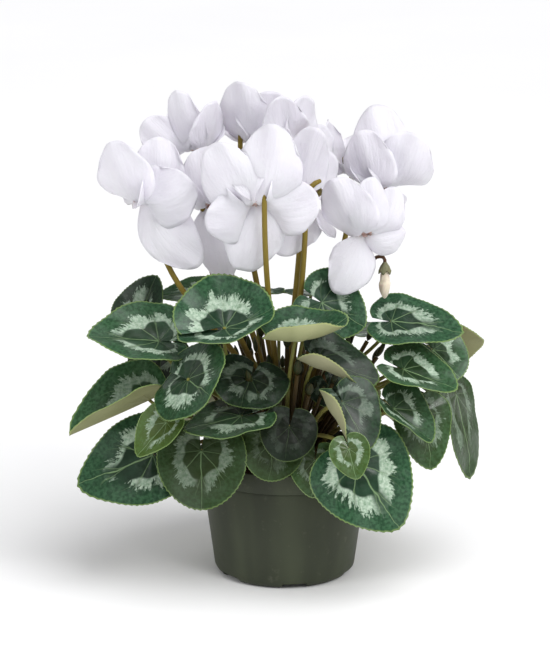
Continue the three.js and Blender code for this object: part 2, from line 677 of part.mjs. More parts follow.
function calyx(swell = 0) {
  const back = TUBE.back + GAP;
  const rim = back + 1.1;
  const edge = TUBE.length - CALYX.reach - swell;
  const wall = CALYX.wall + swell;
  const outline = [
    [0, TUBE.length + GAP],
    [back, TUBE.length + GAP],
    [rim, edge],
    [rim + wall, edge],
    [back + wall, TUBE.length + GAP + CALYX.wall / 2],
    [SCAPE.neck, TUBE.length + GAP + 2],
    [0, TUBE.length + GAP + 2],
  ];
  const geometry = turned(outline, 2 * CALYX.sepals);
  const position = geometry.attributes.position;
  for (let i = 0; i < position.count; i++) {
    const turn = Math.atan2(position.getY(i), position.getX(i));
    const notch = 1.4 * (1 + Math.cos(CALYX.sepals * turn));
    if (position.getZ(i) < edge + 1) position.setZ(i, position.getZ(i) + notch);
  }
  return solidOf(geometry);
}

function corolla(petals, axis) {
  const outline = [
    [0, 0],
    [TUBE.mouth, 0],
    [TUBE.back, TUBE.length],
    [0, TUBE.length],
  ];
  let made = moved(solidOf(turned(outline, TUBE.sides)), alignedTo(axis));
  for (const row of petals) made = made.add(petal(row, axis));
  return made;
}

// The bud hangs from the arch of its scape: furled petals, with the calyx on the scape.
function budSolid() {
  const outline = [
    [0, -BUD.length],
    [1.6, -BUD.length + 3],
    [BUD.radius, -0.45 * BUD.length],
    [0.9 * BUD.radius, -0.2 * BUD.length],
    [0.4 * BUD.radius, 0],
    [0, 0],
  ];
  return solidOf(turned(outline, 8).translate(...BUD.neck).translate(0, 0, -1 - GAP));
}

function budScape(root) {
  const [low, arch, neck] = [BUD.mouth, BUD.arch, BUD.neck].map(vector);
  const curve = new THREE.CatmullRomCurve3([root, low.clone().lerp(root, 0.5), low, arch, neck]);
  const stem = stalk(curve, evenly(2 * SCAPE.steps), SCAPE.sides, (t) =>
    THREE.MathUtils.lerp(SCAPE.root, BUD.stem, Math.min(1, 1.3 * t)),
  );
  return largest(stem.subtract(swollenTuber(GAP)));
}

// A flower and its scape. The scape's calyx clasps the tube, and the petals clear both.
function flowerAndScape(flower, root) {
  const axis = vector(flower.axis).normalize();
  const mouth = vector(flower.mouth);
  const { petals, exit } = rootedPetals(flower, axis);
  if (flower.beside) exit.copy(vector(flower.beside)).projectOnPlane(axis).normalize();
  const curve = scapeCurve(mouth, axis, exit, root);
  const stations = scapeStations(curve);
  const radius = (t) => THREE.MathUtils.lerp(SCAPE.root, SCAPE.neck, Math.min(1, 1.3 * t));
  const stem = stalk(curve, stations, SCAPE.sides, radius);
  const room = stalk(curve, stations, SCAPE.sides, (t) => radius(t) + GAP);
  const place = new THREE.Matrix4().setPosition(mouth);
  const upright = place.clone().multiply(alignedTo(axis));
  const cut = room.add(moved(calyx(GAP), upright));
  return {
    bloom: largest(moved(corolla(petals, axis), place).subtract(cut)),
    scape: largest(stem.add(moved(calyx(), upright)).subtract(swollenTuber(GAP))),
  };
}

// ---------------------------------------------------------------- the plant
const far = farLeaves();
const inRing = (ring) => LEAVES.filter((leaf) => leaf.ring === ring);
const roots = new Map([
  ...rootsOf([...inRing("outer"), ...far.map(([low]) => low)], CROWN_RINGS.outer),
  ...rootsOf(inRing("inner"), CROWN_RINGS.inner),
  ...rootsOf([...FLOWERS, BUD], CROWN_RINGS.heart),
]);

const group = new THREE.Group();
group.name = "potted_cyclamen";
group.add(meshOf("pot", pot(), "pot"));
group.add(meshOf("potting_mix", soil(), "soil"));
group.add(meshOf("tuber", swollenTuber(0), "tuber"));
for (const leaf of LEAVES) {
  const matrix = leafMatrix(leaf);
  const local = moved(leafSolid(leaf, roots.get(leaf)), matrix.clone().invert());
  group.add(meshOf(leaf.name, largest(local), "leaf", matrix));
}
far.forEach((pair, i) => {
  const [low, high] = pair.map((leaf) => leafSolid(leaf, roots.get(pair[0])));
  group.add(meshOf(`far_leaves_${i + 1}`, largest(low.add(high)), "leaf"));
});
for (const flower of FLOWERS) {
  const { bloom, scape } = flowerAndScape(flower, roots.get(flower));
  group.add(meshOf(flower.name, bloom, "petal"));
  group.add(meshOf(flower.name.replace("flower", "scape"), scape, "scape"));
}
group.add(meshOf("bud", budSolid(), "bud"));
group.add(meshOf("bud_scape", budScape(roots.get(BUD)), "scape"));

export default group;
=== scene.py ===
# %% [markdown]
# # A potted cyclamen
# A florist's cyclamen is a low dome of marbled, heart-shaped leaves with a bunch of white
# flowers above it, in a plain nursery pot. Every leaf and every flower stands on a stalk of
# its own that grows from one tuber in the middle of the pot. The solids of the plant are
# loaded first. The finer shapes made here stand for them one by one, in the same places.

# %% Load the frame
import math
import random

import bpy
import numpy as np
from mathutils import Matrix, Vector


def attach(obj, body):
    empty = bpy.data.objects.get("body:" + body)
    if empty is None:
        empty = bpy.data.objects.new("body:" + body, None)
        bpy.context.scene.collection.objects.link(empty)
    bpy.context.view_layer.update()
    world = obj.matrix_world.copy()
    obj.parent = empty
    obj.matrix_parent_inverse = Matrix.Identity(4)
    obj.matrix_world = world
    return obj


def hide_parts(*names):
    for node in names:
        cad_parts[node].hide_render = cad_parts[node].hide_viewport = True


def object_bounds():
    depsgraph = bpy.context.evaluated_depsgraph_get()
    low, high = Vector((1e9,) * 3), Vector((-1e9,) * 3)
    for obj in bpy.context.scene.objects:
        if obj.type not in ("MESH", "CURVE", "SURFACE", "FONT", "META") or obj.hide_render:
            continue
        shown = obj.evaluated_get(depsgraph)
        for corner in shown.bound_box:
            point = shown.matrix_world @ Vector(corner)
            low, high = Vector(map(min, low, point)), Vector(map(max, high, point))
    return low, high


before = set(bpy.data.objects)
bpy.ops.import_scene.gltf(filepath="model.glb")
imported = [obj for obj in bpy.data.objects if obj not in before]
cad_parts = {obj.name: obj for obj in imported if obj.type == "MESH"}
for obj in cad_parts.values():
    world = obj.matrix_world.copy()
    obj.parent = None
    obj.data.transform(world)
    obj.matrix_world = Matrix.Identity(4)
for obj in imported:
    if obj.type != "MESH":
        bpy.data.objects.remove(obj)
CAD_BOX = [list(corner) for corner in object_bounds()]
MM = 0.001
print("solids:", len(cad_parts), "box in mm:", [[round(v / MM) for v in c] for c in CAD_BOX])

# %% [markdown]
# ## Camera, floor and light
# The photograph is taken from about two metres away with a long lens, a little above the
# plant: the rim and the foot of the pot look like flat ellipses, and their shape gives the
# angle. The light is that of a studio with white walls, soft and nearly without shadows, and
# a little stronger from the right. Such light is a pale world, a sun as wide as a ceiling of
# soft boxes that keeps the whole floor pale, and two lamps that put the gloss on the leaves.

# %% Camera, floor and light
CAMERA_PLACE = Vector((-0.0073, -1.9309, 0.7028))
CAMERA_TARGET = Vector((-0.0073, 0, 0.1818))
PLANT_MIDDLE = Vector((0, 0, 0.2))
FOCAL_LENGTH = 2677  # in pixels of the photograph
IMAGE_HEIGHT = 672  # in pixels: the longer side, which the sensor's width stands for
SENSOR = 36  # in millimetres


def aimed(name, data, place, target):
    """A camera or a lamp, turned to its target."""
    made = bpy.data.objects.new(name, data)
    turn = (target - place).to_track_quat("-Z", "Y").to_matrix().to_4x4()
    made.matrix_world = Matrix.Translation(place) @ turn
    bpy.context.collection.objects.link(made)
    return made


def lit_by(name, kind, place, **settings):
    """A light that is aimed at the middle of the plant."""
    light = bpy.data.lights.new(name, kind)
    for setting, value in settings.items():
        setattr(light, setting, value)
    aimed(name, light, Vector(place), PLANT_MIDDLE)


lens = bpy.data.cameras.new("camera")
lens.sensor_width = SENSOR
lens.lens = FOCAL_LENGTH / IMAGE_HEIGHT * SENSOR
bpy.context.scene.camera = aimed("camera", lens, CAMERA_PLACE, CAMERA_TARGET)

lit_by("ceiling_light", "SUN", (0.9, -0.8, 2.2), energy=2.25, angle=math.radians(55))
lit_by("key_light", "AREA", (1.1, -1.2, 1.1), energy=7, size=0.5)
lit_by("fill_light", "AREA", (-1.3, -0.8, 0.9), energy=5, size=0.6)

world = bpy.data.worlds.new("studio")
world.use_nodes = True
walls = world.node_tree.nodes["Background"].inputs
walls["Color"].default_value = (0.98, 0.98, 1, 1)
walls["Strength"].default_value = 0.46
bpy.context.scene.world = world
bpy.context.scene.view_settings.view_transform = "Standard"

bpy.ops.mesh.primitive_circle_add(vertices=96, radius=9, fill_type="NGON")
floor = bpy.context.object
floor.name = "floor"
sight = CAMERA_TARGET - CAMERA_PLACE
print("camera looks down by", round(math.degrees(math.atan2(-sight.z, sight.y)), 1), "degrees")

# %% [markdown]
# ## A way to write nodes
# A material is a tree of nodes, and a pattern is a sum that runs at every point of a
# surface. Such sums are easier to read as sums. `Value` wraps a socket so that plus, minus
# and times add the Math nodes, and `Tree.add` makes any other node from its type, its
# settings and what its sockets get. Geometry Nodes are trees too, and use the same words.

# %% Node maths
def socket_of(source):
    """The socket of a value, the first one of a node, or else what was given."""
    if isinstance(source, Value):
        return source.socket
    return source.outputs[0] if isinstance(source, bpy.types.Node) else source


def both_ways(operation):
    """An operator and its reflected form, so that 1 - value works too."""
    return (lambda self, other: self.tree.math(operation, self, other),
            lambda self, other: self.tree.math(operation, other, self))


class Value:
    """What a socket gives. Mostly a number that changes from point to point."""

    def __init__(self, tree, source):
        self.tree = tree
        self.socket = socket_of(source)

    def math(self, operation, *others):
        return self.tree.math(operation, self, *others)

    __add__, __radd__ = both_ways("ADD")
    __sub__, __rsub__ = both_ways("SUBTRACT")
    __mul__, __rmul__ = both_ways("MULTIPLY")
    __truediv__, __rtruediv__ = both_ways("DIVIDE")

    def __abs__(self):
        return self.math("ABSOLUTE")

    def over(self, low, high):
        """0 below low, 1 above high, and smooth between them. They may be values too."""
        inputs = {"Value": self, "From Min": low, "From Max": high}
        node = self.tree.add("ShaderNodeMapRange", inputs, interpolation_type="SMOOTHSTEP")
        return Value(self.tree, node)


class Tree:
    """A tree of nodes, which Blender keeps in self.graph."""

    def feed(self, node, inputs):
        """Links or sets the node's sockets."""
        for socket, source in dict(inputs).items():
            source = socket_of(source)
            if isinstance(source, bpy.types.NodeSocket):
                self.graph.links.new(source, node.inputs[socket])
            else:
                node.inputs[socket].default_value = source
        return node

    def add(self, kind, inputs=(), **settings):
        node = self.graph.nodes.new(kind)
        for setting, value in settings.items():
            setattr(node, setting, value)
        return self.feed(node, inputs)

    def math(self, operation, *inputs):
        return Value(self, self.add("ShaderNodeMath", dict(enumerate(inputs)), operation=operation))

    def numbers(self, source):
        """The three numbers of a vector or a colour."""
        return [Value(self, output)
                for output in self.add("ShaderNodeSeparateXYZ", {0: source}).outputs]

    def vector(self, *numbers):
        return self.add("ShaderNodeCombineXYZ", dict(enumerate(numbers)))


def paint(red, green, blue):
    """A colour as a paint chart gives it, 0 to 255, in the numbers that light adds up in."""
    share = np.array([red, green, blue]) / 255
    light = np.where(share < 0.04045, share / 12.92, ((share + 0.055) / 1.055) ** 2.4)
    return (*light.tolist(), 1)


class Material(Tree):
    """A material, with its Principled shader and a few helpers for patterns. The shader's
    constants go by the names of their sockets, with _ for a space."""

    def __init__(self, name, **constants):
        self.data = bpy.data.materials.new(name)
        self.data.use_nodes = True
        self.graph = self.data.node_tree
        self.shader = self.graph.nodes["Principled BSDF"]
        self.feed(self.shader, {key.replace("_", " "): v for key, v in constants.items()})

    def place(self):
        return self.add("ShaderNodeTexCoord").outputs["Object"]

    def scaled(self, where, *scale):
        return self.add("ShaderNodeMapping", {"Vector": where, "Scale": scale})

    def noise(self, where, scale, detail=2, roughness=0.5):
        inputs = {"Vector": where, "Scale": scale, "Detail": detail, "Roughness": roughness}
        return Value(self, self.add("ShaderNodeTexNoise", inputs).outputs["Fac"])

    def mix(self, share, *colours):
        """A colour between two colours. Each is a socket or a paint's three numbers."""
        first, second = [paint(*c) if isinstance(c, tuple) else c for c in colours]
        inputs = {0: share, 6: first, 7: second}
        return self.add("ShaderNodeMix", inputs, data_type="RGBA").outputs[2]

    def coats(self, colour, *coats):
        """Coats over a first colour, each with the share that it covers."""
        for share, coat in coats:
            colour = self.mix(share, colour, coat)
        return colour

    def finish(self, colour, roughness=None, height=None, depth=0.0003, bump=1.0, wax=None):
        """Feeds the shader, and returns the finished material."""
        feeds = {"Base Color": colour, "Roughness": roughness, "Coat Weight": wax}
        if height:
            inputs = {"Height": height, "Distance": depth, "Strength": bump}
            feeds["Normal"] = self.add("ShaderNodeBump", inputs)
        self.feed(self.shader, {key: v for key, v in feeds.items() if v is not None})
        print("material:", self.data.name, "with", len(self.graph.nodes), "nodes")
        return self.data


def studio_floor():
    backdrop = Material("studio_floor", Roughness=0.9)
    mottle = backdrop.noise(backdrop.place(), 3)
    return backdrop.finish(backdrop.mix(mottle, (246, 246, 247), (250, 250, 250)))


floor.data.materials.append(studio_floor())

# %% [markdown]
# ## The leaf's colours
# A cyclamen leaf is dark blue-green, with a silver band that runs round it at about two
# thirds of the way out. The band is flame-like: its outer edge frays along the fine veins,
# and the main veins and the midrib's end break it. The margin is a lighter green and ends in
# a pale, finely toothed edge. A wax that lies on in patches gives the gloss. All of it
# follows the leaf's own shape, so each blade carries two numbers for every point: how far out
# the point lies between the stalk's joint and the margin, and its turn from the midrib. They
# are stored as a UV map, and the pattern is worked out from them.

# %% Leaf, upper side
VEIN_STEP = math.radians(42)  # between neighbouring main veins at the joint
FORKS_FROM = 0.36  # how far out the main veins fork


def blade_numbers(material):
    """How far out a point lies, from 0 to 1, its turn from the midrib, in radians, and the
    leaf's look: silver, dark, warm and a number of its own."""
    share, turn, _ = material.numbers(material.add("ShaderNodeUVMap", uv_map="blade"))
    look = material.add("ShaderNodeAttribute", attribute_name="look")
    silver, dark, warm = material.numbers(look.outputs["Color"])
    own = Value(material, look.outputs["Alpha"])
    return share, (turn - 0.5) * (2 * math.pi), silver, dark, warm, own


def vein_lines(share, turn, wander):
    """The main veins and their forks: 1 on a vein, 0 off it. They bend towards the tip, and
    those of the back lobes are faint. The midrib runs on to the tip. Also returns how far a
    point lies from the next main vein, 0.5 halfway between two."""
    bent = turn * (1 + share * share * 0.22) + (wander - 0.5) * 0.3
    lane = bent / VEIN_STEP + 20.5  # above 0, with a vein in the middle of each lane
    aside = abs(lane.math("FRACT") - 0.5)
    faint = (1 - abs(turn) * 0.36).math("MAXIMUM", 0)
    width = 0.020 - share * 0.012
    main = 1 - (aside * share * VEIN_STEP).over(width * 0.4, width)
    midrib = 1 - abs(bent).over(0.3, 0.36)
    main = main * (1 - share.over(0.5, 0.78) * (1 - midrib)) * faint
    fork = abs(aside - (share - FORKS_FROM).math("MAXIMUM", 0) * 0.6) * share * VEIN_STEP
    reach = share.over(FORKS_FROM, 0.42) * (1 - share.over(0.6, 0.85))
    forks = (1 - fork.over(0.003, 0.012)) * reach
    return main.math("MAXIMUM", forks * faint * 0.5), aside


def silver_band(leaf, share, turn, aside, broad, own):
    """1 in the band, 0 off it. Its inner edge swells, and its outer edge is ragged."""
    flames = leaf.noise(leaf.vector(turn * 5, share * 1.2, broad * 4 + own * 40), 3.0, 4, 0.7)
    ragged = leaf.noise(leaf.vector(turn, share, own * 30), 1.5, 3)
    swell = leaf.noise(leaf.vector(turn, share, own * 50 + 7), 1.0, 1)
    inner = 0.20 + swell * 0.52
    outer = flames * 0.55 + ragged * 0.72 + 0.02
    band = share.over(inner - 0.02, inner + 0.03) * (1 - share.over(outer - 0.03, outer + 0.015))
    at_tip = 1 - abs(turn).over(0.06, 0.26)
    at_vein = (1 - aside.over(0.02, 0.02 + ragged * 0.2)) * swell.over(0.45, 0.6)
    return band * (1 - at_tip * 0.9) * (1 - at_vein * 0.85), swell


def leaf_upper():
    leaf = Material("leaf_upper", Specular_IOR_Level=0.15, Coat_Roughness=0.24)
    where = leaf.place()
    share, turn, silver, dark, warm, own = blade_numbers(leaf)
    broad, fine, speckle = [leaf.noise(where, *row) for row in ((55, 2), (420, 3), (900, 2))]
    veins, aside = vein_lines(share, turn, broad)
    band, swell = silver_band(leaf, share, turn, aside, broad, own)
    band = band * silver * (0.55 + speckle * 0.75).math("MINIMUM", 1)
    # dark is partly painted shade: besides a leaf's own darker tone, it stands for the shade on
    # leaves that lie deep in the plant. It dims the veins and the edge, and lays grey-black over
    # the colour.
    vein_share = veins * (1 - band * 0.6) * (1 - dark * 0.85) * (0.35 + swell * 0.6)
    edge = share.over(0.968, 0.99) * (1 - dark * 0.6)
    colour = leaf.coats(
        leaf.mix(broad.over(0.3, 0.7), (20, 44, 26), (42, 70, 50)),
        (share.over(0.5, 0.85), leaf.mix(fine.over(0.3, 0.7), (28, 62, 38), (56, 94, 64))),
        (warm * 0.8, (84, 100, 26)),
        (dark * 0.9, (17, 21, 12)),
        (band, leaf.mix(fine.over(0.25, 0.7), (132, 160, 134), (190, 208, 188))),
        (vein_share, (138, 168, 120)),
        (edge * 0.8, (126, 152, 88)))
    wax = leaf.noise(where, 38, 1).over(0.42, 0.62) * (0.7 - band * 0.35) * (1 - dark * 0.45)
    puckers = leaf.add("ShaderNodeTexVoronoi", {"Vector": where, "Scale": 260}, feature="SMOOTH_F1")
    relief = fine * 0.4 - Value(leaf, puckers) * 1.1 - veins * 1.1
    gloss = 0.36 + fine * 0.16 + band * 0.2
    return leaf.finish(colour, gloss, relief, depth=0.001, bump=0.7, wax=wax)


LEAF_UPPER = leaf_upper()

# %% [markdown]
# ## The leaf's underside and the stalks
# The underside has no blue in it. It is a dull yellow-green that turns brown on older leaves,
# and here the veins stand proud instead of lying sunk. The stalks go from olive green at the
# blade to brown near the tuber, with faint lines along them, so their colour follows height.
# The darker, browner feet are partly the stalks' own colour and partly painted shade, for the
# shade low in the plant. The calyces and the young leaves are coloured the same way, each
# between two colours.

# %% Underside, stalks and calyces
def leaf_under():
    under = Material("leaf_underside", Specular_IOR_Level=0.25)
    share, turn, _, dark, warm, _ = blade_numbers(under)
    where = under.place()
    broad = under.noise(where, 60, 3)
    fine = under.noise(where, 500, 2)
    veins, _ = vein_lines(share, turn, broad)
    colour = under.coats(
        under.mix(broad, (128, 134, 92), (158, 160, 118)),
        (warm * 0.6, (150, 128, 66)),
        # painted shade, in part: dark greys the underside of leaves that lie in shade, besides
        # their own tone
        (dark * 0.6, (110, 104, 92)),
        (veins * 0.5, (164, 158, 110)),
        (share.over(0.95, 1.0) * 0.6, (160, 172, 104)))
    return under.finish(colour, 0.55 + fine * 0.15, veins + fine * 0.4, depth=0.0006, bump=0.6)


LEAF_UNDER = leaf_under()


def stem_material(name, foot, top, low, high):
    """The foot's colour below the height low, and the top's above high, in metres."""
    stem = Material(name, Specular_IOR_Level=0.2)
    where = stem.place()
    height = stem.numbers(where)[2]
    streaks = stem.noise(stem.scaled(where, 900, 900, 40), 1, 3)
    blotch = stem.noise(where, 90, 2)
    # painted shade, in part: for the stalks, the darker foot colour low down stands for their own
    # brown near the tuber and for the shade low in the plant
    colour = stem.coats(
        stem.mix((height + blotch * 0.06).over(low, high), foot, top),
        (streaks.over(0.35, 0.75) * 0.35, (92, 66, 34)))
    return stem.finish(colour, 0.38 + streaks * 0.2, streaks, depth=0.0002, bump=0.5)


LEAF_STALK, SCAPE, YOUNG_STALK, YOUNG_LEAF, CALYX, BUD_CALYX, BUD_STEM = [
    stem_material(*row) for row in (
        ("leaf_stalk", (88, 62, 40), (122, 124, 62), 0.10, 0.19),
        ("flower_stalk", (66, 48, 22), (128, 112, 44), 0.13, 0.26),
        # painted shade, in part: the young stalks and leaves are near black, their own dark colour
        # deepened to stand for the shade at the plant's heart
        ("young_stalk", (38, 26, 16), (64, 52, 22), 0.11, 0.20),
        ("young_leaf", (20, 26, 10), (34, 48, 22), 0.13, 0.22),
        ("calyx", (84, 70, 34), (118, 108, 56), 0.20, 0.34),
        ("bud_calyx", (70, 72, 48), (128, 130, 100), 0.22, 0.245),
        ("bud_stalk", (74, 56, 28), (88, 62, 46), 0.16, 0.24))]

# %% [markdown]
# ## Petals
# The petals are pure white, but thin: light comes through them, and where they lie over each
# other they turn a soft lilac grey. Fine veins run from the claw to the edge. Light that
# enters and spreads is what subsurface scattering is for. The claw has a faint tint that ends
# in a darker eye at the tube, and keeps the flower's middle from looking like paper.

# %% Petals, throat and bud
def petal_material(name, white, shade, claw, eye):
    petal = Material(name, Subsurface_Weight=0.35, Subsurface_Radius=(0.006, 0.005, 0.006),
                     Subsurface_Scale=1.0, Specular_IOR_Level=0.25, Sheen_Weight=0.1)
    across, along, _ = petal.numbers(petal.add("ShaderNodeUVMap", uv_map="petal"))
    where = petal.place()
    cloud = petal.noise(where, 45, 2)
    wander = petal.noise(petal.vector(across * 2, along * 2, 0.0), 3, 2)
    colour = petal.coats(
        white,
        # painted shade: soft lilac-grey clouds laid at random over the white
        (cloud.over(0.3, 0.75) * 0.5, shade),
        ((1 - along.over(0.0, 0.22)) * 0.5, claw),
        ((1 - along.over(0.0, 0.08)) * 0.8, eye))
    fan = (across - 0.5) / (along + 0.25)
    lines = ((fan + wander * 0.05) * 120).math("SINE")
    folds = petal.noise(petal.vector(fan * 3, along * 0.8, cloud), 4, 3, 0.6)
    relief = lines * 0.04 + folds * 3.2 + petal.noise(where, 600, 2) * 0.2
    return petal.finish(colour, 0.45 + cloud * 0.15, relief, depth=0.0006, bump=0.5)


PETAL, THROAT, BUD = [petal_material(*row) for row in (
    ("petal", (231, 228, 237), (219, 213, 226), (214, 206, 202), (150, 104, 92)),
    ("throat", (226, 214, 208), (206, 190, 184), (170, 130, 120), (196, 160, 150)),
    ("bud_petal", (238, 226, 212), (226, 208, 190), (206, 190, 150), (232, 220, 200)))]


def anther_material():
    anther = Material("anthers", Roughness=0.7)
    grain = anther.noise(anther.place(), 1500, 2)
    colour = anther.mix(grain, (168, 120, 48), (206, 168, 90))
    return anther.finish(colour, height=grain, depth=0.0002)


ANTHERS = anther_material()

# %% [markdown]
# ## Pot, mix and tuber
# The pot is thin moulded plastic, a satin olive green that is nearly black in the shade. Its
# surface has a fine grain and long, soft vertical unevenness from the mould. The mix is a
# dark peat with paler bark and a few white grains. The tuber is corky.

# %% Pot plastic, potting mix and cork
def pot_plastic():
    pot = Material("pot_plastic", Specular_IOR_Level=0.28)
    where = pot.place()
    grain = pot.noise(where, 1400, 2)
    flow = pot.noise(pot.scaled(where, 38, 38, 5), 1, 2)
    dust = pot.noise(where, 160, 4, 0.6)
    colour = pot.coats(
        pot.mix(flow.over(0.3, 0.7), (50, 55, 41), (64, 70, 52)),
        (dust.over(0.58, 0.8) * 0.18, (120, 120, 104)))
    return pot.finish(colour, 0.46 + dust * 0.16, grain * 0.3 + flow * 3, depth=0.0003, bump=0.25)


POT_PLASTIC = pot_plastic()


def crumbly(name, dark, light, scale, specks=None):
    mix = Material(name, Roughness=0.95, Specular_IOR_Level=0.1)
    where = mix.place()
    coarse = mix.noise(where, scale, 5, 0.65)
    fine = mix.noise(where, scale * 7, 3)
    colour = mix.mix(coarse.over(0.3, 0.75), dark, light)
    if specks:
        colour = mix.mix(fine.over(0.7, 0.76), colour, specks)
    return mix.finish(colour, 0.8 + fine * 0.2, coarse + fine * 0.5, depth=0.0015)


PEAT, GRIT, CORK = [crumbly(*row) for row in (
    ("peat", (28, 20, 15), (66, 46, 32), 260, (120, 96, 70)),
    ("white_grit", (196, 190, 180), (226, 222, 214), 700),
    ("cork", (64, 46, 34), (112, 86, 64), 180))]

# %% [markdown]
# ## Shells and stalks
# Blades and petals are thin sheets. A sheet is a grid of points in space, and `shell` gives
# it two faces and a wall along its edge, so that it is closed like the real thing. A wavy
# edge could reach past the plant's solids by a hair, so `shell` also keeps it inside their
# box. Stalks are round bars along a curve. That is work for Geometry Nodes: the curve is
# drawn once, and the tree turns it into a bar whose radius goes from root to tip.

# %% Thin sheets
BOX_GAP = 0.02  # how far the thin sheets keep inside the solids' box, in millimetres
BOX_LOW, BOX_HIGH = np.array(CAD_BOX) / MM + np.array([[BOX_GAP], [-BOX_GAP]])


def unit(vectors):
    return vectors / np.linalg.norm(vectors, axis=-1, keepdims=True)


def smooth(x):
    x = np.clip(x, 0, 1)
    return x * x * (3 - 2 * x)


def new_object(name, mesh):
    made = bpy.data.objects.new(name, mesh)
    bpy.context.collection.objects.link(made)
    return made


def new_mesh(name, corners, faces, *materials):
    """A smooth mesh, its corners given in millimetres."""
    mesh = bpy.data.meshes.new(name)
    mesh.from_pydata((np.array(corners) * MM).tolist(), [], faces)
    mesh.polygons.foreach_set("use_smooth", [True] * len(faces))
    for material in materials:
        mesh.materials.append(material)
    return mesh


def quads(*corners):
    return np.stack(corners, axis=-1).reshape(-1, 4)


def shell(name, points, thickness, chart, chart_name, materials, pole=False):
    """A closed sheet about a grid of points in millimetres. chart holds two numbers for each
    point, kept as a UV map. With pole, the first row is one point."""
    rows, columns = points.shape[:2]
    along, across = np.gradient(points, axis=(0, 1))
    if pole:
        along[0], across[0] = points[1] - points[0], across[1]
    normals = unit(np.cross(along, across))
    if pole:
        normals[0] = unit(normals[1].mean(axis=0))
    half = normals * thickness / 2
    corners = np.concatenate([points + half, points - half]).reshape(-1, 3)
    corners = np.clip(corners, BOX_LOW, BOX_HIGH)

    index = np.arange(rows * columns).reshape(rows, columns)
    if pole:
        index[0] = 0
    under = index + rows * columns
    top = quads(index[:-1, :-1], index[1:, :-1], index[1:, 1:], index[:-1, 1:])
    bottom = quads(under[:-1, :-1], under[:-1, 1:], under[1:, 1:], under[1:, :-1])
    walls = [
        quads(index[-1, :-1], under[-1, :-1], under[-1, 1:], index[-1, 1:]),
        quads(index[:-1, 0], under[:-1, 0], under[1:, 0], index[1:, 0]),
        quads(index[:-1, -1], index[1:, -1], under[1:, -1], under[:-1, -1]),
    ]
    if not pole:
        walls.append(quads(index[0, :-1], index[0, 1:], under[0, 1:], under[0, :-1]))
    faces = np.concatenate([top, bottom, *walls])

    flat = np.concatenate([chart.reshape(-1, 2)] * 2)
    numbers, used = [], np.unique(faces)
    loops = [list(dict.fromkeys(face)) for face in faces.tolist()]
    for loop in loops:
        own = flat[loop]
        at_pole = np.array([pole and corner % (rows * columns) == 0 for corner in loop])
        if at_pole.any():  # the joint has no turn of its own, so it takes its neighbours'
            own[at_pole, 1] = own[~at_pole, 1].mean()
        numbers.append(own)
    place = {corner: k for k, corner in enumerate(used.tolist())}
    loops = [[place[corner] for corner in loop] for loop in loops]
    mesh = new_mesh(name, corners[used], loops, *materials)
    sides = np.zeros(len(faces), int)
    sides[len(top):len(top) + len(bottom)] = 1
    mesh.polygons.foreach_set("material_index", sides.tolist())
    mesh.uv_layers.new(name=chart_name).data.foreach_set("uv", np.concatenate(numbers).ravel())
    return new_object(name, mesh)


def joined(name, *objects):
    """One object out of several, with the materials of all of them."""
    first = objects[0]
    if len(objects) > 1:
        with bpy.context.temp_override(active_object=first, selected_editable_objects=objects):
            bpy.ops.object.join()
    first.name = name
    first.data.name = name
    return first


# %% Geometry Nodes helpers
def baked(piece, modifier):
    """The plain mesh that a modifier makes of a piece. The modifier is taken off."""
    bpy.context.view_layer.update()
    seen = piece.evaluated_get(bpy.context.evaluated_depsgraph_get())
    mesh = bpy.data.meshes.new_from_object(seen)
    piece.modifiers.remove(modifier)
    return mesh


class Growth(Tree):
    """A Geometry Nodes tree with named inputs, _ for a space. The nodes take them from given."""

    def __init__(self, name, **inputs):
        self.graph = bpy.data.node_groups.new(name, "GeometryNodeTree")
        self.graph.interface.new_socket(
            "Geometry", in_out="OUTPUT", socket_type="NodeSocketGeometry")
        for socket, kind in dict(Geometry="Geometry", **inputs, Material="Material").items():
            self.graph.interface.new_socket(
                socket.replace("_", " "), in_out="INPUT", socket_type="NodeSocket" + kind)
        outputs = self.add("NodeGroupInput").outputs
        self.given = {output.name: Value(self, output) for output in outputs}

    def index(self):
        """The number of each point or copy, from 0."""
        return Value(self, self.add("GeometryNodeInputIndex"))

    def drawn(self, low, high):
        """A number for each point, drawn at random."""
        inputs = {2: low, 3: high, "Seed": self.given["Seed"]}
        return self.add("FunctionNodeRandomValue", inputs, data_type="FLOAT").outputs[1]

    def copies(self, points, instance, turn, **others):
        inputs = {"Points": points, "Instance": instance, "Rotation": turn, **others}
        return self.add("GeometryNodeInstanceOnPoints", inputs)

    def end(self, geometry):
        """Realizes, sets the material and closes the tree."""
        real = self.add("GeometryNodeRealizeInstances", {0: geometry})
        inputs = {"Geometry": real, "Material": self.given["Material"]}
        self.add("NodeGroupOutput", {0: self.add("GeometryNodeSetMaterial", inputs)})
        print("tree:", self.graph.name, "with", len(self.graph.nodes), "nodes")
        return self

    def grow(self, name, source, **values):
        """The plain mesh that the tree makes of the source object."""
        modifier = source.modifiers.new("growth", "NODES")
        modifier.node_group = self.graph
        for item in self.graph.interface.items_tree:
            key = item.name.replace(" ", "_")
            if item.in_out == "INPUT" and key in values:
                modifier[item.identifier] = values[key]
        mesh = baked(source, modifier)
        bpy.data.objects.remove(source)
        return new_object(name, mesh)


def stem_growth():
    growth = Growth("stem", Root_radius="Float", Tip_radius="Float", Steps="Int", Sides="Int")
    given = growth.given
    inputs = {"Curve": given["Geometry"], "Count": given["Steps"]}
    line = growth.add("GeometryNodeResampleCurve", inputs)
    inputs = {"Value": growth.add("GeometryNodeSplineParameter"),
              "To Min": given["Root radius"], "To Max": given["Tip radius"]}
    radius = growth.add("ShaderNodeMapRange", inputs)
    inputs = {"Resolution": given["Sides"], "Radius": 1.0}
    ring = growth.add("GeometryNodeCurvePrimitiveCircle", inputs)
    inputs = {"Curve": line, "Profile Curve": ring, "Scale": radius, "Fill Caps": True}
    bar = growth.add("GeometryNodeCurveToMesh", inputs)
    return growth.end(growth.add("GeometryNodeSetShadeSmooth", {"Geometry": bar}))


STEM = stem_growth()


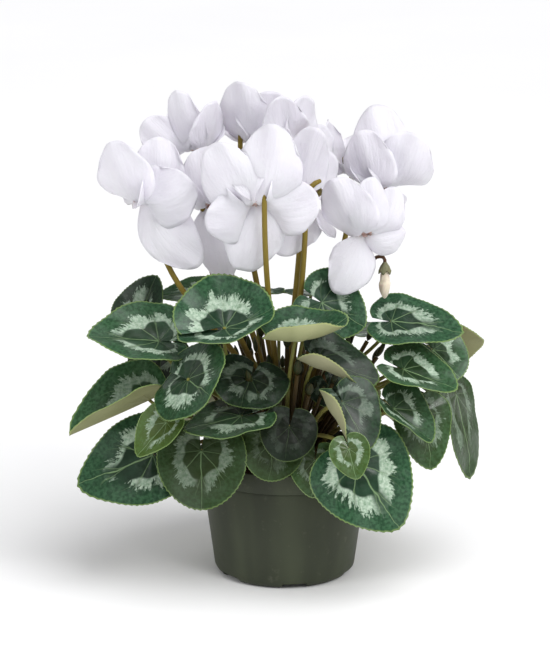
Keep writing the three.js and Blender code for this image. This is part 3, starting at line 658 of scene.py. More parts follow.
def stem(name, path, root_radius, tip_radius, material, steps, sides):
    """A round stem along a Bezier path: rows of (before, point, after) in millimetres."""
    curve = bpy.data.curves.new(name, "CURVE")
    curve.dimensions = "3D"
    curve.resolution_u = 24
    spline = curve.splines.new("BEZIER")
    spline.bezier_points.add(len(path) - 1)
    for knot, row in zip(spline.bezier_points, path):
        knot.handle_left, knot.co, knot.handle_right = [Vector(point) * MM for point in row]
    return STEM.grow(name, new_object(name, curve), Root_radius=root_radius * MM,
                     Tip_radius=tip_radius * MM, Steps=steps, Sides=sides, Material=material)


# %% [markdown]
# ## Turned shapes
# The pot, the tuber, the flowers' tubes and the bud are round about an axis. `turned` spins
# an outline of radius and height about it. An outline that starts and ends on the axis gives
# a closed shape.

# %% Turned shapes
def turned(name, outline, sides, material, place=None):
    """outline: rows of (radius, height) in millimetres, upwards on the outside."""
    ring = np.linspace(0, 2 * math.pi, sides, endpoint=False)
    corners, rows = [], []
    for radius, height in outline:
        if radius < 1e-6:
            rows.append([len(corners)] * sides)
            corners.append((0, 0, height))
        else:
            rows.append(list(range(len(corners), len(corners) + sides)))
            corners += [(radius * math.cos(a), radius * math.sin(a), height) for a in ring]
    faces = []
    for low, high in zip(rows, rows[1:]):
        for k in range(sides):
            after = (k + 1) % sides
            face = list(dict.fromkeys([low[k], low[after], high[after], high[k]]))
            if len(face) > 2:
                faces.append(face)
    made = new_object(name, new_mesh(name, corners, faces, material))
    if place:
        made.data.transform(place)
    return made


def arc(centre, radius, start, end, steps):
    """Points of an arc in an outline. Angles in degrees."""
    angles = np.radians(np.linspace(start, end, steps + 1))
    return [(centre[0] + radius * math.cos(a), centre[1] + radius * math.sin(a)) for a in angles]


def lifted(height):
    """Moves a shape up, by millimetres."""
    return Matrix.Translation((0, 0, height * MM))

# %% [markdown]
# ## The pot
# The pot is a thin shell with a band round its rim, where the pots of a stack rest on each
# other, and a foot with six notches that let water out. The shell is turned from one outline.
# The notches repeat round the foot, so Geometry Nodes set six cutters in a ring, and one
# boolean cuts them all.

# %% Pot
POT = dict(height=93, rim=65, rim_height=15, body=63, foot=53.5, foot_round=7, wall=1.6,
           floor=3.5, foot_width=9, pad=14, notches=6, first_notch=-82, notch_width=20,
           notch_height=4.2, notch_out=8, drain=3.5, drain_in=6)
RIM_FOOT = POT["height"] - POT["rim_height"]
SLOPE = (POT["body"] - POT["foot"]) / (RIM_FOOT - POT["foot_round"])
CREASE = math.radians(38)  # edges sharper than this stay sharp
NOTCH_LENGTH = 40  # long enough to cut right through the foot ring


def inner_radius(height):
    return POT["foot"] - POT["wall"] + SLOPE * (height - POT["foot_round"])


def pot_outline():
    foot, above = POT["foot"] - POT["foot_round"], POT["foot_round"] + 4
    ring = foot - POT["foot_width"]
    inside = POT["floor"] + POT["wall"]
    return [
        (0, 0),
        *arc((POT["pad"] - 0.5, 0.5), 0.5, -90, 0, 3),  # the pad in the middle of the foot
        (POT["pad"] + 2, POT["floor"]),
        (ring, POT["floor"]),
        *arc((ring + 2, 0.6), 0.6, 180, 270, 3),  # the foot ring
        *arc((foot, POT["foot_round"]), POT["foot_round"], -90, 0, 10),
        (POT["body"] - 0.3, RIM_FOOT - 2.4),  # a groove under the rim band
        (POT["body"] - 1.0, RIM_FOOT - 0.4),
        *arc((POT["rim"] - 1.0, RIM_FOOT + 0.6), 0.6, -90, 0, 3),
        *arc((POT["rim"] - 0.8, POT["height"] - 0.8), 0.8, 0, 180, 6),  # the lip
        (inner_radius(RIM_FOOT) + 0.5, RIM_FOOT + 1),
        (inner_radius(RIM_FOOT) - 0.3, RIM_FOOT - 1.5),
        (inner_radius(above), above),
        (inner_radius(POT["foot_round"]) - 4, inside),
        (0, inside),
    ]


def ring_growth():
    """Copies of the source round the Z axis, facing outwards."""
    growth = Growth("ring", Count="Int", Radius="Float", First_angle="Float")
    given = growth.given
    inputs = {"Vertices": given["Count"], "Radius": given["Radius"]}
    places = growth.add("GeometryNodeMeshCircle", inputs)
    turn = growth.index() * (2 * math.pi / given["Count"])
    ring = growth.copies(places, given["Geometry"], growth.vector(0, 0, turn))
    inputs = {"Geometry": ring, "Rotation": growth.vector(0, 0, given["First angle"])}
    return growth.end(growth.add("GeometryNodeTransform", inputs))


RING = ring_growth()


def block(name, length, width, height):
    """A block about the origin with slightly slanted sides, wider below."""
    x, y, z = length / 2, width / 2, height / 2
    corners = [(sx * x, sy * (y - sz), sz * z)
               for sz in (-1, 1) for sx, sy in ((-1, -1), (1, -1), (1, 1), (-1, 1))]
    faces = [(3, 2, 1, 0), (4, 5, 6, 7), (0, 1, 5, 4), (1, 2, 6, 5), (2, 3, 7, 6), (3, 0, 4, 7)]
    mesh = new_mesh(name, corners, faces)
    mesh.shade_flat()
    return new_object(name, mesh)


def cut(piece, cutter):
    """Takes the cutter away from the piece."""
    modifier = piece.modifiers.new("cut", "BOOLEAN")
    modifier.operation = "DIFFERENCE"
    modifier.solver = "EXACT"
    modifier.object = cutter
    piece.data = baked(piece, modifier)
    bpy.data.objects.remove(cutter)


def make_pot():
    pot = turned("pot_shell", pot_outline(), 144, POT_PLASTIC)
    foot = POT["foot"] - POT["foot_round"]
    ring = foot - POT["foot_width"]
    notch = block("notch", NOTCH_LENGTH, POT["notch_width"], 2 * POT["notch_height"])
    drain = turned("drain", [(0, -6), (POT["drain"], -6), (POT["drain"], 6), (0, 6)], 24,
                   POT_PLASTIC, lifted(POT["floor"]))
    for cutter, radius in ((notch, foot + POT["notch_out"]), (drain, ring - POT["drain_in"])):
        cut(pot, RING.grow("cutters", cutter, Radius=radius * MM, Count=POT["notches"],
                           First_angle=math.radians(POT["first_notch"]), Material=POT_PLASTIC))
    pot.data.set_sharp_from_angle(angle=CREASE)
    return pot


def finished(piece, slot, *nodes):
    """Puts a piece on the root body and hides the solids that it stands for. slot, its finish,
    is not used.
    """
    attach(piece, "root")
    if nodes:
        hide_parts(*nodes)
    return piece


pot = finished(make_pot(), "pot", "pot")
print("pot:", len(pot.data.polygons), "faces")

# %% [markdown]
# ## Tuber and potting mix
# The tuber is a flattened round of cork. Its wrinkles are moved points, in rings and in
# bumps. The mix has a rough surface with crumbs of peat and white grit lying on it: Geometry
# Nodes scatter them, and a fixed seed lets them fall the same way each time.

# %% Tuber and potting mix
TUBER = dict(radius=27, half_height=15, middle=80)
TUBER_SKIN = 0.985  # how far out the smooth shape lies, to leave room for the wrinkles
MIX = dict(top=82, crown=3, gap=0.3)


def make_tuber():
    radius, half = TUBER_SKIN * TUBER["radius"], TUBER_SKIN * TUBER["half_height"]
    outline = [(radius * math.sqrt(max(0, 1 - h * h)), TUBER["middle"] + half * h)
               for h in np.sin(np.linspace(-math.pi / 2, math.pi / 2, 36))]
    tuber = turned("tuber_cork", outline, 72, CORK)
    for vertex in tuber.data.vertices:
        x, y, z = vertex.co / MM
        rings = math.sin(z * 2.1 + 2 * math.sin(x * 0.3)) * 0.25
        wrinkle = rings + math.sin(x * 0.9) * math.sin(y * 1.1) * 0.3
        away = Vector((x, y, z - TUBER["middle"])).normalized()
        vertex.co += away * (wrinkle - 0.3) * MM
    return tuber


finished(make_tuber(), "tuber", "tuber")


def crumb_growth():
    """Crumbs on the faces of the source that look up."""
    growth = Growth("crumbs", Density="Float", Smallest="Float", Largest="Float", Seed="Int")
    given = growth.given
    upward = growth.numbers(growth.add("GeometryNodeInputNormal"))[2]
    faces_up = growth.add("FunctionNodeCompare", {0: upward, 1: 0.7}, operation="GREATER_THAN")
    places = growth.add("GeometryNodeDistributePointsOnFaces", {
        "Mesh": given["Geometry"], "Selection": faces_up,
        "Density": given["Density"], "Seed": given["Seed"]})
    crumb = growth.add("GeometryNodeMeshIcoSphere", {"Radius": 1.0, "Subdivisions": 1})
    lumps = growth.add("ShaderNodeTexNoise", {"Scale": 1.4}).outputs["Color"]
    bumpy = growth.add("GeometryNodeSetPosition", {"Geometry": crumb, "Offset": lumps})
    inputs = {"Max": (6.3, 6.3, 6.3), "Seed": given["Seed"]}  # a full turn about each axis
    turn = growth.add("FunctionNodeRandomValue", inputs, data_type="FLOAT_VECTOR")
    size = growth.drawn(given["Smallest"], given["Largest"])
    return growth.end(growth.copies(places, bumpy, turn, Scale=size))


CRUMBS = crumb_growth()


def mix_top(x, y):
    """The height of the mix over a point of its surface."""
    crown = MIX["crown"] * smooth(np.array((60 - math.hypot(x, y)) / 50))
    rough = math.sin(x * 0.7 + 1) * math.cos(y * 0.9) + 0.7 * math.sin(x * 1.7) * math.sin(y * 1.3)
    return MIX["top"] - 0.7 + float(crown) + 0.5 * rough


def make_mix():
    gap, top = MIX["gap"], MIX["top"]
    low, above = POT["floor"] + POT["wall"] + gap, POT["foot_round"] + 4
    edge = inner_radius(RIM_FOOT) - gap
    outline = [
        (0, low),
        (inner_radius(POT["foot_round"]) - gap - 4, low),
        (inner_radius(above) - gap, above),
        (edge - 0.4, RIM_FOOT - 2),
        *[(edge * (1 - k / 30), top) for k in range(31)],
    ]
    mix = turned("potting_mix_fill", outline, 96, PEAT)
    for vertex in mix.data.vertices:
        x, y, z = vertex.co / MM
        if z > top - 0.1:
            vertex.co.z = mix_top(x, y) * MM
    return mix


def scattered(name, density, smallest, largest, seed, material):
    surface = new_object(name, mix_surface.data.copy())
    return CRUMBS.grow(name, surface, Density=density, Smallest=smallest * MM,
                       Largest=largest * MM, Seed=seed, Material=material)


mix_surface = make_mix()
peat_crumbs = scattered("peat_crumbs", 90000.0, 0.4, 1.3, 3, PEAT)
white_grit = scattered("white_grit", 5000.0, 0.4, 0.9, 8, GRIT)
mix = finished(joined("potting_mix_surface", mix_surface, peat_crumbs, white_grit),
               "potting_mix", "potting_mix")
print("potting mix:", len(mix.data.polygons), "faces, crumbs and grit on it")

# %% [markdown]
# ## The leaves, one row each
# A rule could scatter leaves, but then none would be where the photograph shows it. So each
# leaf of the near side has a row: the joint of stalk and blade, the way to the leaf's point,
# the way its upper side faces, and how far its flanks reach, all in millimetres. The rest of
# a row bends the blade: cup lifts the margin, fold makes a V along the midrib, droop bends
# the tip down, and a curl rolls one side up, in degrees. sinus is half the slit between
# the back lobes, in degrees too, a round leaf has hardly a tip, and ring says where on the
# tuber the stalk roots. Ten leaves of the far side follow a rule.

# %% The leaves' places
LEAVES = {
    "leaf_01": dict(joint=(-44, -52, 202), tip=(37, 4, 8), face=(0, -0.42, 0.9),
        side=37, back=37, sinus=3, cup=0.3, round=True, fold=0.3, ring="inner"),
    "leaf_02": dict(joint=(-93, -30, 186), tip=(-52, -4, 5), face=(0, -0.36, 0.93),
        side=36, back=24, fold=0.25, ring="inner"),
    "leaf_03": dict(joint=(-109, 19, 190), tip=(13, 6, 32), face=(-0.55, -0.8, 0.3),
        side=22, fold=0.3, ring="inner"),
    "leaf_04": dict(joint=(-56, 33, 208), tip=(-41, -4, -3), face=(0, -0.25, 0.96),
        side=20, fold=0.1, ring="inner"),
    "leaf_06": dict(joint=(8, -64, 198), tip=(38, 4, 2), face=(0, -0.15, 0.98),
        side=33, back=30, sinus=3, cup=0.4, ring="inner"),
    "leaf_07": dict(joint=(27, -25, 214), tip=(32, -4, -17), face=(0.1, -0.88, 0.46),
        side=27, back=22, ring="inner"),
    "leaf_08": dict(joint=(79, -15, 197), tip=(53, -7, -2), face=(0.05, -0.4, 0.9),
        side=28, back=20, fold=0.1, droop=12, ring="inner"),
    "leaf_09": dict(joint=(111, 4, 170), tip=(21, -12, -18), face=(0.15, -0.75, 0.65),
        side=22, round=True, ring="outer"),
    "leaf_10": dict(joint=(87, -40, 167), tip=(39, -10, -12), face=(0.05, -0.3, 0.95),
        side=27, back=22, fold=0.25, ring="inner"),
    "leaf_11": dict(joint=(120, 40, 165), tip=(32, -4, 3), face=(0.15, 0.75, 0.65),
        side=26, back=16, ring="outer"),
    "leaf_12": dict(joint=(24, -60, 182), tip=(44, -6, -16), face=(0.05, -0.5, 0.86),
        side=27, back=15, curlRight=100, ring="inner"),
    "leaf_13": dict(joint=(41, -94, 158), tip=(19, -14, -31), face=(0.3, -0.7, 0.65),
        side=28, back=17, curlRight=100, ring="outer"),
    "leaf_15": dict(joint=(79, -60, 143), tip=(28, -8, -23), face=(0.57, -0.35, 0.74),
        side=26, back=18, fold=0.4, ring="outer"),
    "leaf_16": dict(joint=(101, -42, 134), tip=(7, -10, -40), face=(0.35, -0.85, 0.35),
        side=22, ring="outer"),
    "leaf_17": dict(joint=(128, -9, 139), tip=(18, -12, -61), face=(0.85, -0.45, 0.25),
        side=24, back=14, droop=14, ring="outer"),
    "leaf_18": dict(joint=(114, 14, 130), tip=(27, -6, -14), face=(0.35, -0.3, 0.88),
        side=24, ring="outer"),
    "leaf_19": dict(joint=(52, -78, 106), tip=(32, -10, -46), face=(0.15, -0.93, 0.33),
        side=37, back=24, droop=10, ring="outer"),
    "leaf_20": dict(joint=(45, -122, 132), tip=(6, -8, -20), face=(0.05, -0.95, 0.3),
        side=14, back=13, fold=0.15, ring="outer"),
    "leaf_21": dict(joint=(22, -73, 108), tip=(-2, -9, -26), face=(-0.05, -0.88, 0.45),
        side=19, ring="outer"),
    "leaf_22": dict(joint=(3, -79, 135), tip=(-4, -12, -22), face=(0, -0.85, 0.5),
        side=19, back=15, cup=-0.1, round=True, ring="outer"),
    "leaf_23": dict(joint=(-8, -68, 120), tip=(-4, -12, -26), face=(-0.05, -0.88, 0.45),
        side=21, back=11, round=True, ring="outer"),
    "leaf_24": dict(joint=(-61, -70, 114), tip=(-1, -13, -41), face=(-0.1, -0.95, 0.3),
        side=29, back=21, cup=-0.1, round=True, ring="outer"),
    "leaf_25": dict(joint=(-97, -52, 105), tip=(-55, -6, -22), face=(-0.15, -0.85, 0.5),
        side=33, back=16, ring="outer"),
    "leaf_26": dict(joint=(-86, -72, 136), tip=(-21, -8, -23), face=(-0.55, -0.75, 0.4),
        side=17, back=14, fold=0.3, ring="outer"),
    "leaf_27": dict(joint=(-100, -34, 142), tip=(-59, -8, -25), face=(-0.3, -0.15, 0.95),
        side=27, back=20, fold=0.8, ring="outer"),
    "leaf_29": dict(joint=(-91, 6, 169), tip=(-28, -6, -25), face=(-0.4, -0.7, 0.6),
        side=24, ring="outer"),
    "leaf_30": dict(joint=(-70, -76, 170), tip=(17, -34, -3), face=(-0.62, -0.48, 0.61),
        side=32, back=29, sinus=3, round=True, ring="inner"),
    "leaf_31": dict(joint=(-25, -56, 165), tip=(-8, -20, -16), face=(0, -0.75, 0.65),
        side=29, back=20, ring="inner"),
    "leaf_32": dict(joint=(-32, -72, 141), tip=(-41, -9, -8), face=(0, -0.3, 0.95),
        side=26, back=30, curlLeft=20, ring="outer"),
    "leaf_35": dict(joint=(32, -33, 153), tip=(9, -14, -14), face=(0, -0.75, 0.65),
        side=16, ring="inner"),
}
FAR_LEAVES = dict(pairs=5, start=28, end=147, seed=7,
                  low=dict(height=112, rise=12, reach=92, draw=0, size=44, dip=42),
                  high=dict(height=170, rise=28, reach=76, draw=18, size=39, dip=8))
# How a leaf looks: silver is the strength of its band, dark turns it grey-black, and warm turns it
# yellow-green. dark is partly the leaf's own darker tone and partly painted shade on leaves that
# lie in shade. A fourth number, drawn for each leaf, gives it a band of its own.
LOOKS = {
    "leaf_01": (1.0, 0.0, 0.0), "leaf_02": (0.9, 0.0, 0.05), "leaf_03": (0.6, 0.8, 0.0),
    "leaf_04": (0.75, 0.1, 0.15), "leaf_06": (0.8, 0.1, 0.0), "leaf_07": (0.7, 0.15, 0.0),
    "leaf_08": (0.75, 0.05, 0.0), "leaf_09": (0.9, 0.0, 0.1), "leaf_10": (0.95, 0.0, 0.1),
    "leaf_11": (0.5, 0.1, 0.2), "leaf_12": (0.2, 0.85, 0.0), "leaf_13": (0.25, 0.7, 0.0),
    "leaf_15": (0.7, 0.2, 0.1), "leaf_16": (0.4, 0.25, 0.3), "leaf_17": (0.3, 0.5, 0.35),
    "leaf_18": (0.2, 0.7, 0.1), "leaf_19": (1.0, 0.0, 0.0), "leaf_20": (0.6, 0.0, 0.5),
    "leaf_21": (0.4, 0.05, 0.4), "leaf_22": (0.05, 1.0, 0.0), "leaf_23": (0.15, 0.5, 0.45),
    "leaf_24": (0.3, 0.55, 0.35), "leaf_25": (0.8, 0.25, 0.0), "leaf_26": (0.7, 0.0, 0.65),
    "leaf_27": (0.5, 0.0, 0.1), "leaf_29": (0.4, 0.85, 0.0), "leaf_30": (0.9, 0.25, 0.05),
    "leaf_31": (0.25, 0.85, 0.0), "leaf_32": (0.55, 0.4, 0.1), "leaf_35": (0.2, 0.8, 0.0),
}
ROLLED = {"leaf_06": 95, "leaf_12": 60, "leaf_13": 65}  # how much further a right side rolls up
LAPPED = ("leaf_01", "leaf_30")  # leaves whose back lobes lie over each other
ROOT_RINGS = dict(outer=22, inner=16, heart=9.5)  # where the stalks root on the tuber


def length(vector):
    return float(np.linalg.norm(vector))


def seeded(seed):
    """The same draws as those that placed the far leaves' solids."""
    state = seed
    while True:
        state = state * 16807 % 2147483647
        yield state / 2147483647


def far_leaves():
    """Pairs of a low and a high leaf, evenly round the far side."""
    draws = seeded(FAR_LEAVES["seed"])

    def jitter(by):
        return by * (2 * next(draws) - 1)

    pairs, start, end = FAR_LEAVES["pairs"], FAR_LEAVES["start"], FAR_LEAVES["end"]
    made = []
    for i in range(pairs):
        pair = []
        for high, tier in enumerate((FAR_LEAVES["low"], FAR_LEAVES["high"])):
            along = (i + 0.35 + 0.35 * high) / pairs
            bearing = math.radians(start + along * (end - start) + jitter(3))
            dip = math.radians(tier["dip"] + jitter(5))
            reach = tier["reach"] - tier["draw"] * (i % 2)
            size = tier["size"] + jitter(3)
            c, s = math.cos(bearing), math.sin(bearing)
            joint = (reach * c, reach * s, tier["height"] + tier["rise"] * (i % 2) + jitter(3))
            tip = (size * math.cos(dip) * c, size * math.cos(dip) * s, -size * math.sin(dip))
            pair.append(dict(joint=joint, tip=tip, face=(0.6 * c, 0.6 * s, 0.8), side=0.65 * size,
                             cup=0.08, phase=6 * next(draws)))
        made.append(pair)
    return made


FAR = far_leaves()


def crown_height(radius):
    return TUBER["middle"] + TUBER["half_height"] * math.sqrt(1 - (radius / TUBER["radius"]) ** 2)


def roots_of(rows, radius):
    """Each ring's stalks stand in the order of the bearings that they leave for."""
    def bearing(row):
        x, y, _ = row.get("joint") or row["mouth"]
        return math.atan2(y, x)

    order = sorted(rows, key=bearing)
    step = 2 * math.pi / len(rows)
    shift = sum(bearing(row) - n * step for n, row in enumerate(order)) / len(rows)
    for n, row in enumerate(order):
        angle = shift + n * step
        row["root"] = np.array([radius * math.cos(angle), radius * math.sin(angle),
                                crown_height(radius) - 2])


for ring in ("outer", "inner"):
    rows = [leaf for leaf in LEAVES.values() if leaf["ring"] == ring]
    roots_of(rows + ([low for low, high in FAR] if ring == "outer" else []), ROOT_RINGS[ring])
for low, high in FAR:
    high["root"] = low["root"]
print("leaves:", len(LEAVES), "near,", 2 * len(FAR), "far")

# %% [markdown]
# ## A blade
# A blade is drawn in polar steps about its joint: rings from the joint to the margin, cut at
# the back by the slit between the two lobes. The outline falls from the tip to the flanks,
# with a small tooth at every third step. Then the flat blade is bent: first the lift of cup,
# fold and a wave along the margin, then the roll of a side, then the droop of the tip. The
# rolls are added up in short steps, so the blade bends without stretching.

# %% Blades
# blunt is how round the tip is and fall how fast the outline leaves it, in radians. Each has
# a second value for round leaves. wave, ripple, quilt and lap are shares of the leaf's side.
BLADE = dict(thickness=0.5, rings=15, sectors=180, tooth=0.014, teeth_from=0.93, sinus=8,
             overlap=-9, blunt=(0.16, 0.5), fall=(0.5, 0.9), wave=0.04, ripple=0.008,
             quilt=0.010, lap=0.05)
LEAF_STEM = dict(root=1.9, tip=1.25, steps=22, sides=10, outwards=0.35, leave=0.4, arrive=0.3)
ARRIVAL = np.array([-0.25, 0, -0.97])  # where a stalk comes from, in its leaf's own axes


def reach_at(leaf, angle, end):
    """From the joint to the margin, at an angle from the midrib."""
    blunt, fall = [BLADE[key][bool(leaf.get("round"))] for key in ("blunt", "fall")]
    away = np.sqrt(angle ** 2 + blunt ** 2) - blunt
    side = leaf["side"]
    back = leaf.get("back", 0.85 * side)
    point = (length(leaf["tip"]) - side) * np.exp(-away / fall)
    lobe = (side - back) * smooth((away - 1.5) / 1.3)
    return (side + point - lobe) * (1 - 0.4 * (away / end) ** 8)


def curled(distance, over, turn, power, steps=6):
    """How far a rolled distance runs and rises, and the slope at its end."""
    step = np.abs(distance) / steps
    run = rise = angle = 0
    for i in range(steps):
        angle = turn * (step * (i + 0.5) / over) ** power
        run = run + step * np.cos(angle)
        rise = rise + step * np.sin(angle)
    return run, rise, angle


def blade_points(leaf, share, angle, end, teeth, lapped):
    """Rows from the joint to the margin, in the leaf's own axes."""
    side, phase, fold = leaf["side"], leaf.get("phase", 0), leaf.get("fold", 0)
    reach = share * reach_at(leaf, angle, end)
    edge = smooth((share - BLADE["teeth_from"]) / (1 - BLADE["teeth_from"]))
    reach = reach * (1 + BLADE["tooth"] * teeth * edge)
    x, y = reach * np.cos(angle), reach * np.sin(angle)
    lift = (leaf.get("cup", 0) * reach * (reach / side) * 0.7 + fold * np.abs(y)
            + BLADE["wave"] * side * share ** 2 * np.sin(5 * angle + phase)
            + BLADE["ripple"] * side * share ** 3 * np.sin(13 * angle + 2 * phase + side))
    ribs = np.cos(angle * 2 * math.pi / VEIN_STEP) * smooth(share / 0.4) * (1 - share)
    lift = lift - BLADE["quilt"] * side * ribs
    if lapped:
        lift = lift + BLADE["lap"] * side * smooth((np.abs(angle) - 2.3) / 0.7) * np.sign(angle)
    right = leaf.get("curlRight", 0) + leaf.get("rolled", 0)
    turn = np.radians(np.where(y > 0, leaf.get("curlLeft", 0), right))
    run, rise, slope = curled(y, side, turn, 2)
    droop = np.radians(np.where(x > 0, leaf.get("droop", 0), 0))
    run_x, rise_x, slope_x = curled(x, length(leaf["tip"]), droop, 1)
    height = rise + lift * np.cos(slope)
    return np.stack([np.sign(x) * (run_x + height * np.sin(slope_x)),
                     np.sign(y) * (run - lift * np.sin(slope)),
                     height * np.cos(slope_x) - rise_x], axis=-1)


def leaf_axes(leaf):
    """Columns: towards the tip, to the left, and out of the upper side."""
    x = unit(np.array(leaf["tip"], float))
    z = np.array(leaf["face"], float)
    z = unit(z - z.dot(x) * x)
    return np.column_stack([x, np.cross(z, x), z])


def blade(name, leaf, look, draw):
    lapped = name in LAPPED
    slit = BLADE["overlap"] if lapped else leaf.get("sinus", BLADE["sinus"])
    end = math.pi - math.radians(slit)
    share = np.linspace(0, 1, BLADE["rings"] + 1)[:, None] ** 0.9
    share[-2] = 0.965  # the last ring but one lies close to the margin, for its teeth
    angle = np.linspace(-end, end, BLADE["sectors"] + 1)[None, :]
    teeth = np.array([(1.0, -0.2, 0.3)[j % 3] * (0.7 + 0.6 * draw.random())
                      for j in range(BLADE["sectors"] + 1)])[None, :]
    teeth = teeth * smooth((end - np.abs(angle)) / 0.25)
    flat = blade_points(leaf, share, angle, end, teeth, lapped)
    points = flat @ leaf_axes(leaf).T + np.array(leaf["joint"])
    chart = np.stack(np.broadcast_arrays(share, angle / (2 * math.pi) + 0.5), axis=-1)
    made = shell(name, points, BLADE["thickness"], chart, "blade", [LEAF_UPPER, LEAF_UNDER],
                 pole=True)
    colour = made.data.attributes.new("look", "FLOAT_COLOR", "POINT")
    colour.data.foreach_set("color", [*look, draw.random()] * len(made.data.vertices))
    return made


def leaf_stem(name, leaf):
    """It leaves the tuber outwards, and arrives at the joint from behind and below."""
    root, joint = leaf["root"], np.array(leaf["joint"], float)
    span = length(joint - root)
    outwards = unit(np.array([root[0], root[1], 0]))
    start = root + unit(outwards * LEAF_STEM["outwards"] + [0, 0, 1]) * LEAF_STEM["leave"] * span
    arrive = joint + unit(leaf_axes(leaf) @ ARRIVAL) * LEAF_STEM["arrive"] * span
    path = [(root, root, start), (arrive, joint, joint)]
    return stem(name, path, LEAF_STEM["root"], LEAF_STEM["tip"], LEAF_STALK,
                LEAF_STEM["steps"], LEAF_STEM["sides"])


def leaf_parts(name, leaf, look, draw):
    return [blade(name, leaf, look, draw), leaf_stem(name + "_stalk", leaf)]


draw = random.Random(5)
for name, leaf in LEAVES.items():
    leaf["rolled"] = ROLLED.get(name, 0)
    parts = leaf_parts(name, leaf, LOOKS[name], draw)
    finished(joined(name + "_blade_and_stalk", *parts), "leaf", name)
for i, pair in enumerate(FAR, start=1):
    parts = []
    for tier, leaf in zip(("low", "high"), pair):
        look = (0.6 + 0.4 * draw.random(), 0.3 * draw.random(), 0.2 * draw.random())
        parts += leaf_parts(f"far_{tier}", leaf, look, draw)
    finished(joined(f"far_leaves_{i}_pair", *parts), "leaf", f"far_leaves_{i}")
print("blades and stalks:", len(LEAVES) + 2 * len(FAR))

# %% [markdown]
# ## The heart of the plant
# Between the tall stalks stand the young ones, packed closely enough to hide the light: leaves
# that are still folded along the midrib, on short brown stalks. Their near-black colours are
# partly their own and partly painted shade, for the dark heart of the plant. They come up from the
# middle of the tuber outwards, each at the golden angle from the one before, and lean out more the
# further out they are. One stalk and one folded leaf are made, and Geometry Nodes set them.

# %% Young leaves
YOUNG = dict(count=84, ring=20, height=98, thick=1.7, bend=9, leaf_length=15, leaf_width=3.4,
             leaf_thickness=2.2, lean=30, smallest=0.55, seed=4, steps=7, sides=8)
GOLDEN_ANGLE = math.pi * (3 - math.sqrt(5))


def grove_growth():
    """Copies of the source, from the Z axis outwards, that lean away from it."""
    growth = Growth("grove", Count="Int", Radius="Float", Lean="Float", Smallest="Float",
                    Seed="Int")
    given = growth.given
    row = growth.add("GeometryNodeMeshLine", {"Count": given["Count"]})
    out = (growth.index() / given["Count"]).math("SQRT")
    turn = growth.index() * GOLDEN_ANGLE
    inputs = {"Vector": growth.vector(out * given["Radius"], 0, 0), "Angle": turn}
    place = growth.add("ShaderNodeVectorRotate", inputs, rotation_type="Z_AXIS")
    places = growth.add("GeometryNodeSetPosition", {"Geometry": row, "Position": place})
    aim = growth.vector(0, out * given["Lean"], turn)
    size = growth.drawn(given["Smallest"], 1.0)
    return growth.end(growth.copies(places, given["Geometry"], aim, Scale=size))


GROVE = grove_growth()


def young_leaf():
    """A folded leaf, pointing up, with its stalk's end at the origin."""
    heights = np.linspace(0, 1, 10)
    widths = np.sin(math.pi * heights ** 0.8) ** 0.8
    outline = [(float(w), float(h)) for w, h in zip(widths, heights)]
    outline[0], outline[-1] = (0, 0), (0, 1)
    sizes = [YOUNG["leaf_" + side] for side in ("thickness", "width", "length")]
    return turned("young_leaf", outline, 10, YOUNG_LEAF, Matrix.Diagonal((*sizes, 1)))


def young_leaves():
    height, bend = YOUNG["height"], YOUNG["height"] / 3
    end = (YOUNG["bend"], 0, height)
    path = [((0, 0, 0), (0, 0, 0), (0, 0, bend)), ((5, 0, height - bend), end, end)]
    stalk = stem("young_stalk", path, YOUNG["thick"], YOUNG["thick"], YOUNG_STALK,
                 YOUNG["steps"], YOUNG["sides"])
    leaf = young_leaf()
    leaf.data.transform(Matrix.Translation(Vector(end) * MM))
    rule = dict(Count=YOUNG["count"], Radius=YOUNG["ring"] * MM, Lean=math.radians(YOUNG["lean"]),
                Smallest=YOUNG["smallest"], Seed=YOUNG["seed"])
    grove = joined("young_leaves", GROVE.grow("stalks", stalk, Material=YOUNG_STALK, **rule),
                   GROVE.grow("blades", leaf, Material=YOUNG_LEAF, **rule))
    grove.data.transform(lifted(crown_height(YOUNG["ring"]) - 3))
    return grove


young = finished(young_leaves(), "leaf")
print("young leaves:", len(young.data.polygons), "faces")

# %% [markdown]
# ## The flowers, one row each
# A cyclamen flower hangs its mouth down and sweeps its five petals back. The flowers of the
# bunch look different ways, and wilt a little, so some petals hang. Each flower has a row:
# the middle of its mouth, the way the mouth looks, where its scape passes if that isn't the
# widest gap, and each petal's tip and width. A petal that twists also has the way that its
# side turns to face.

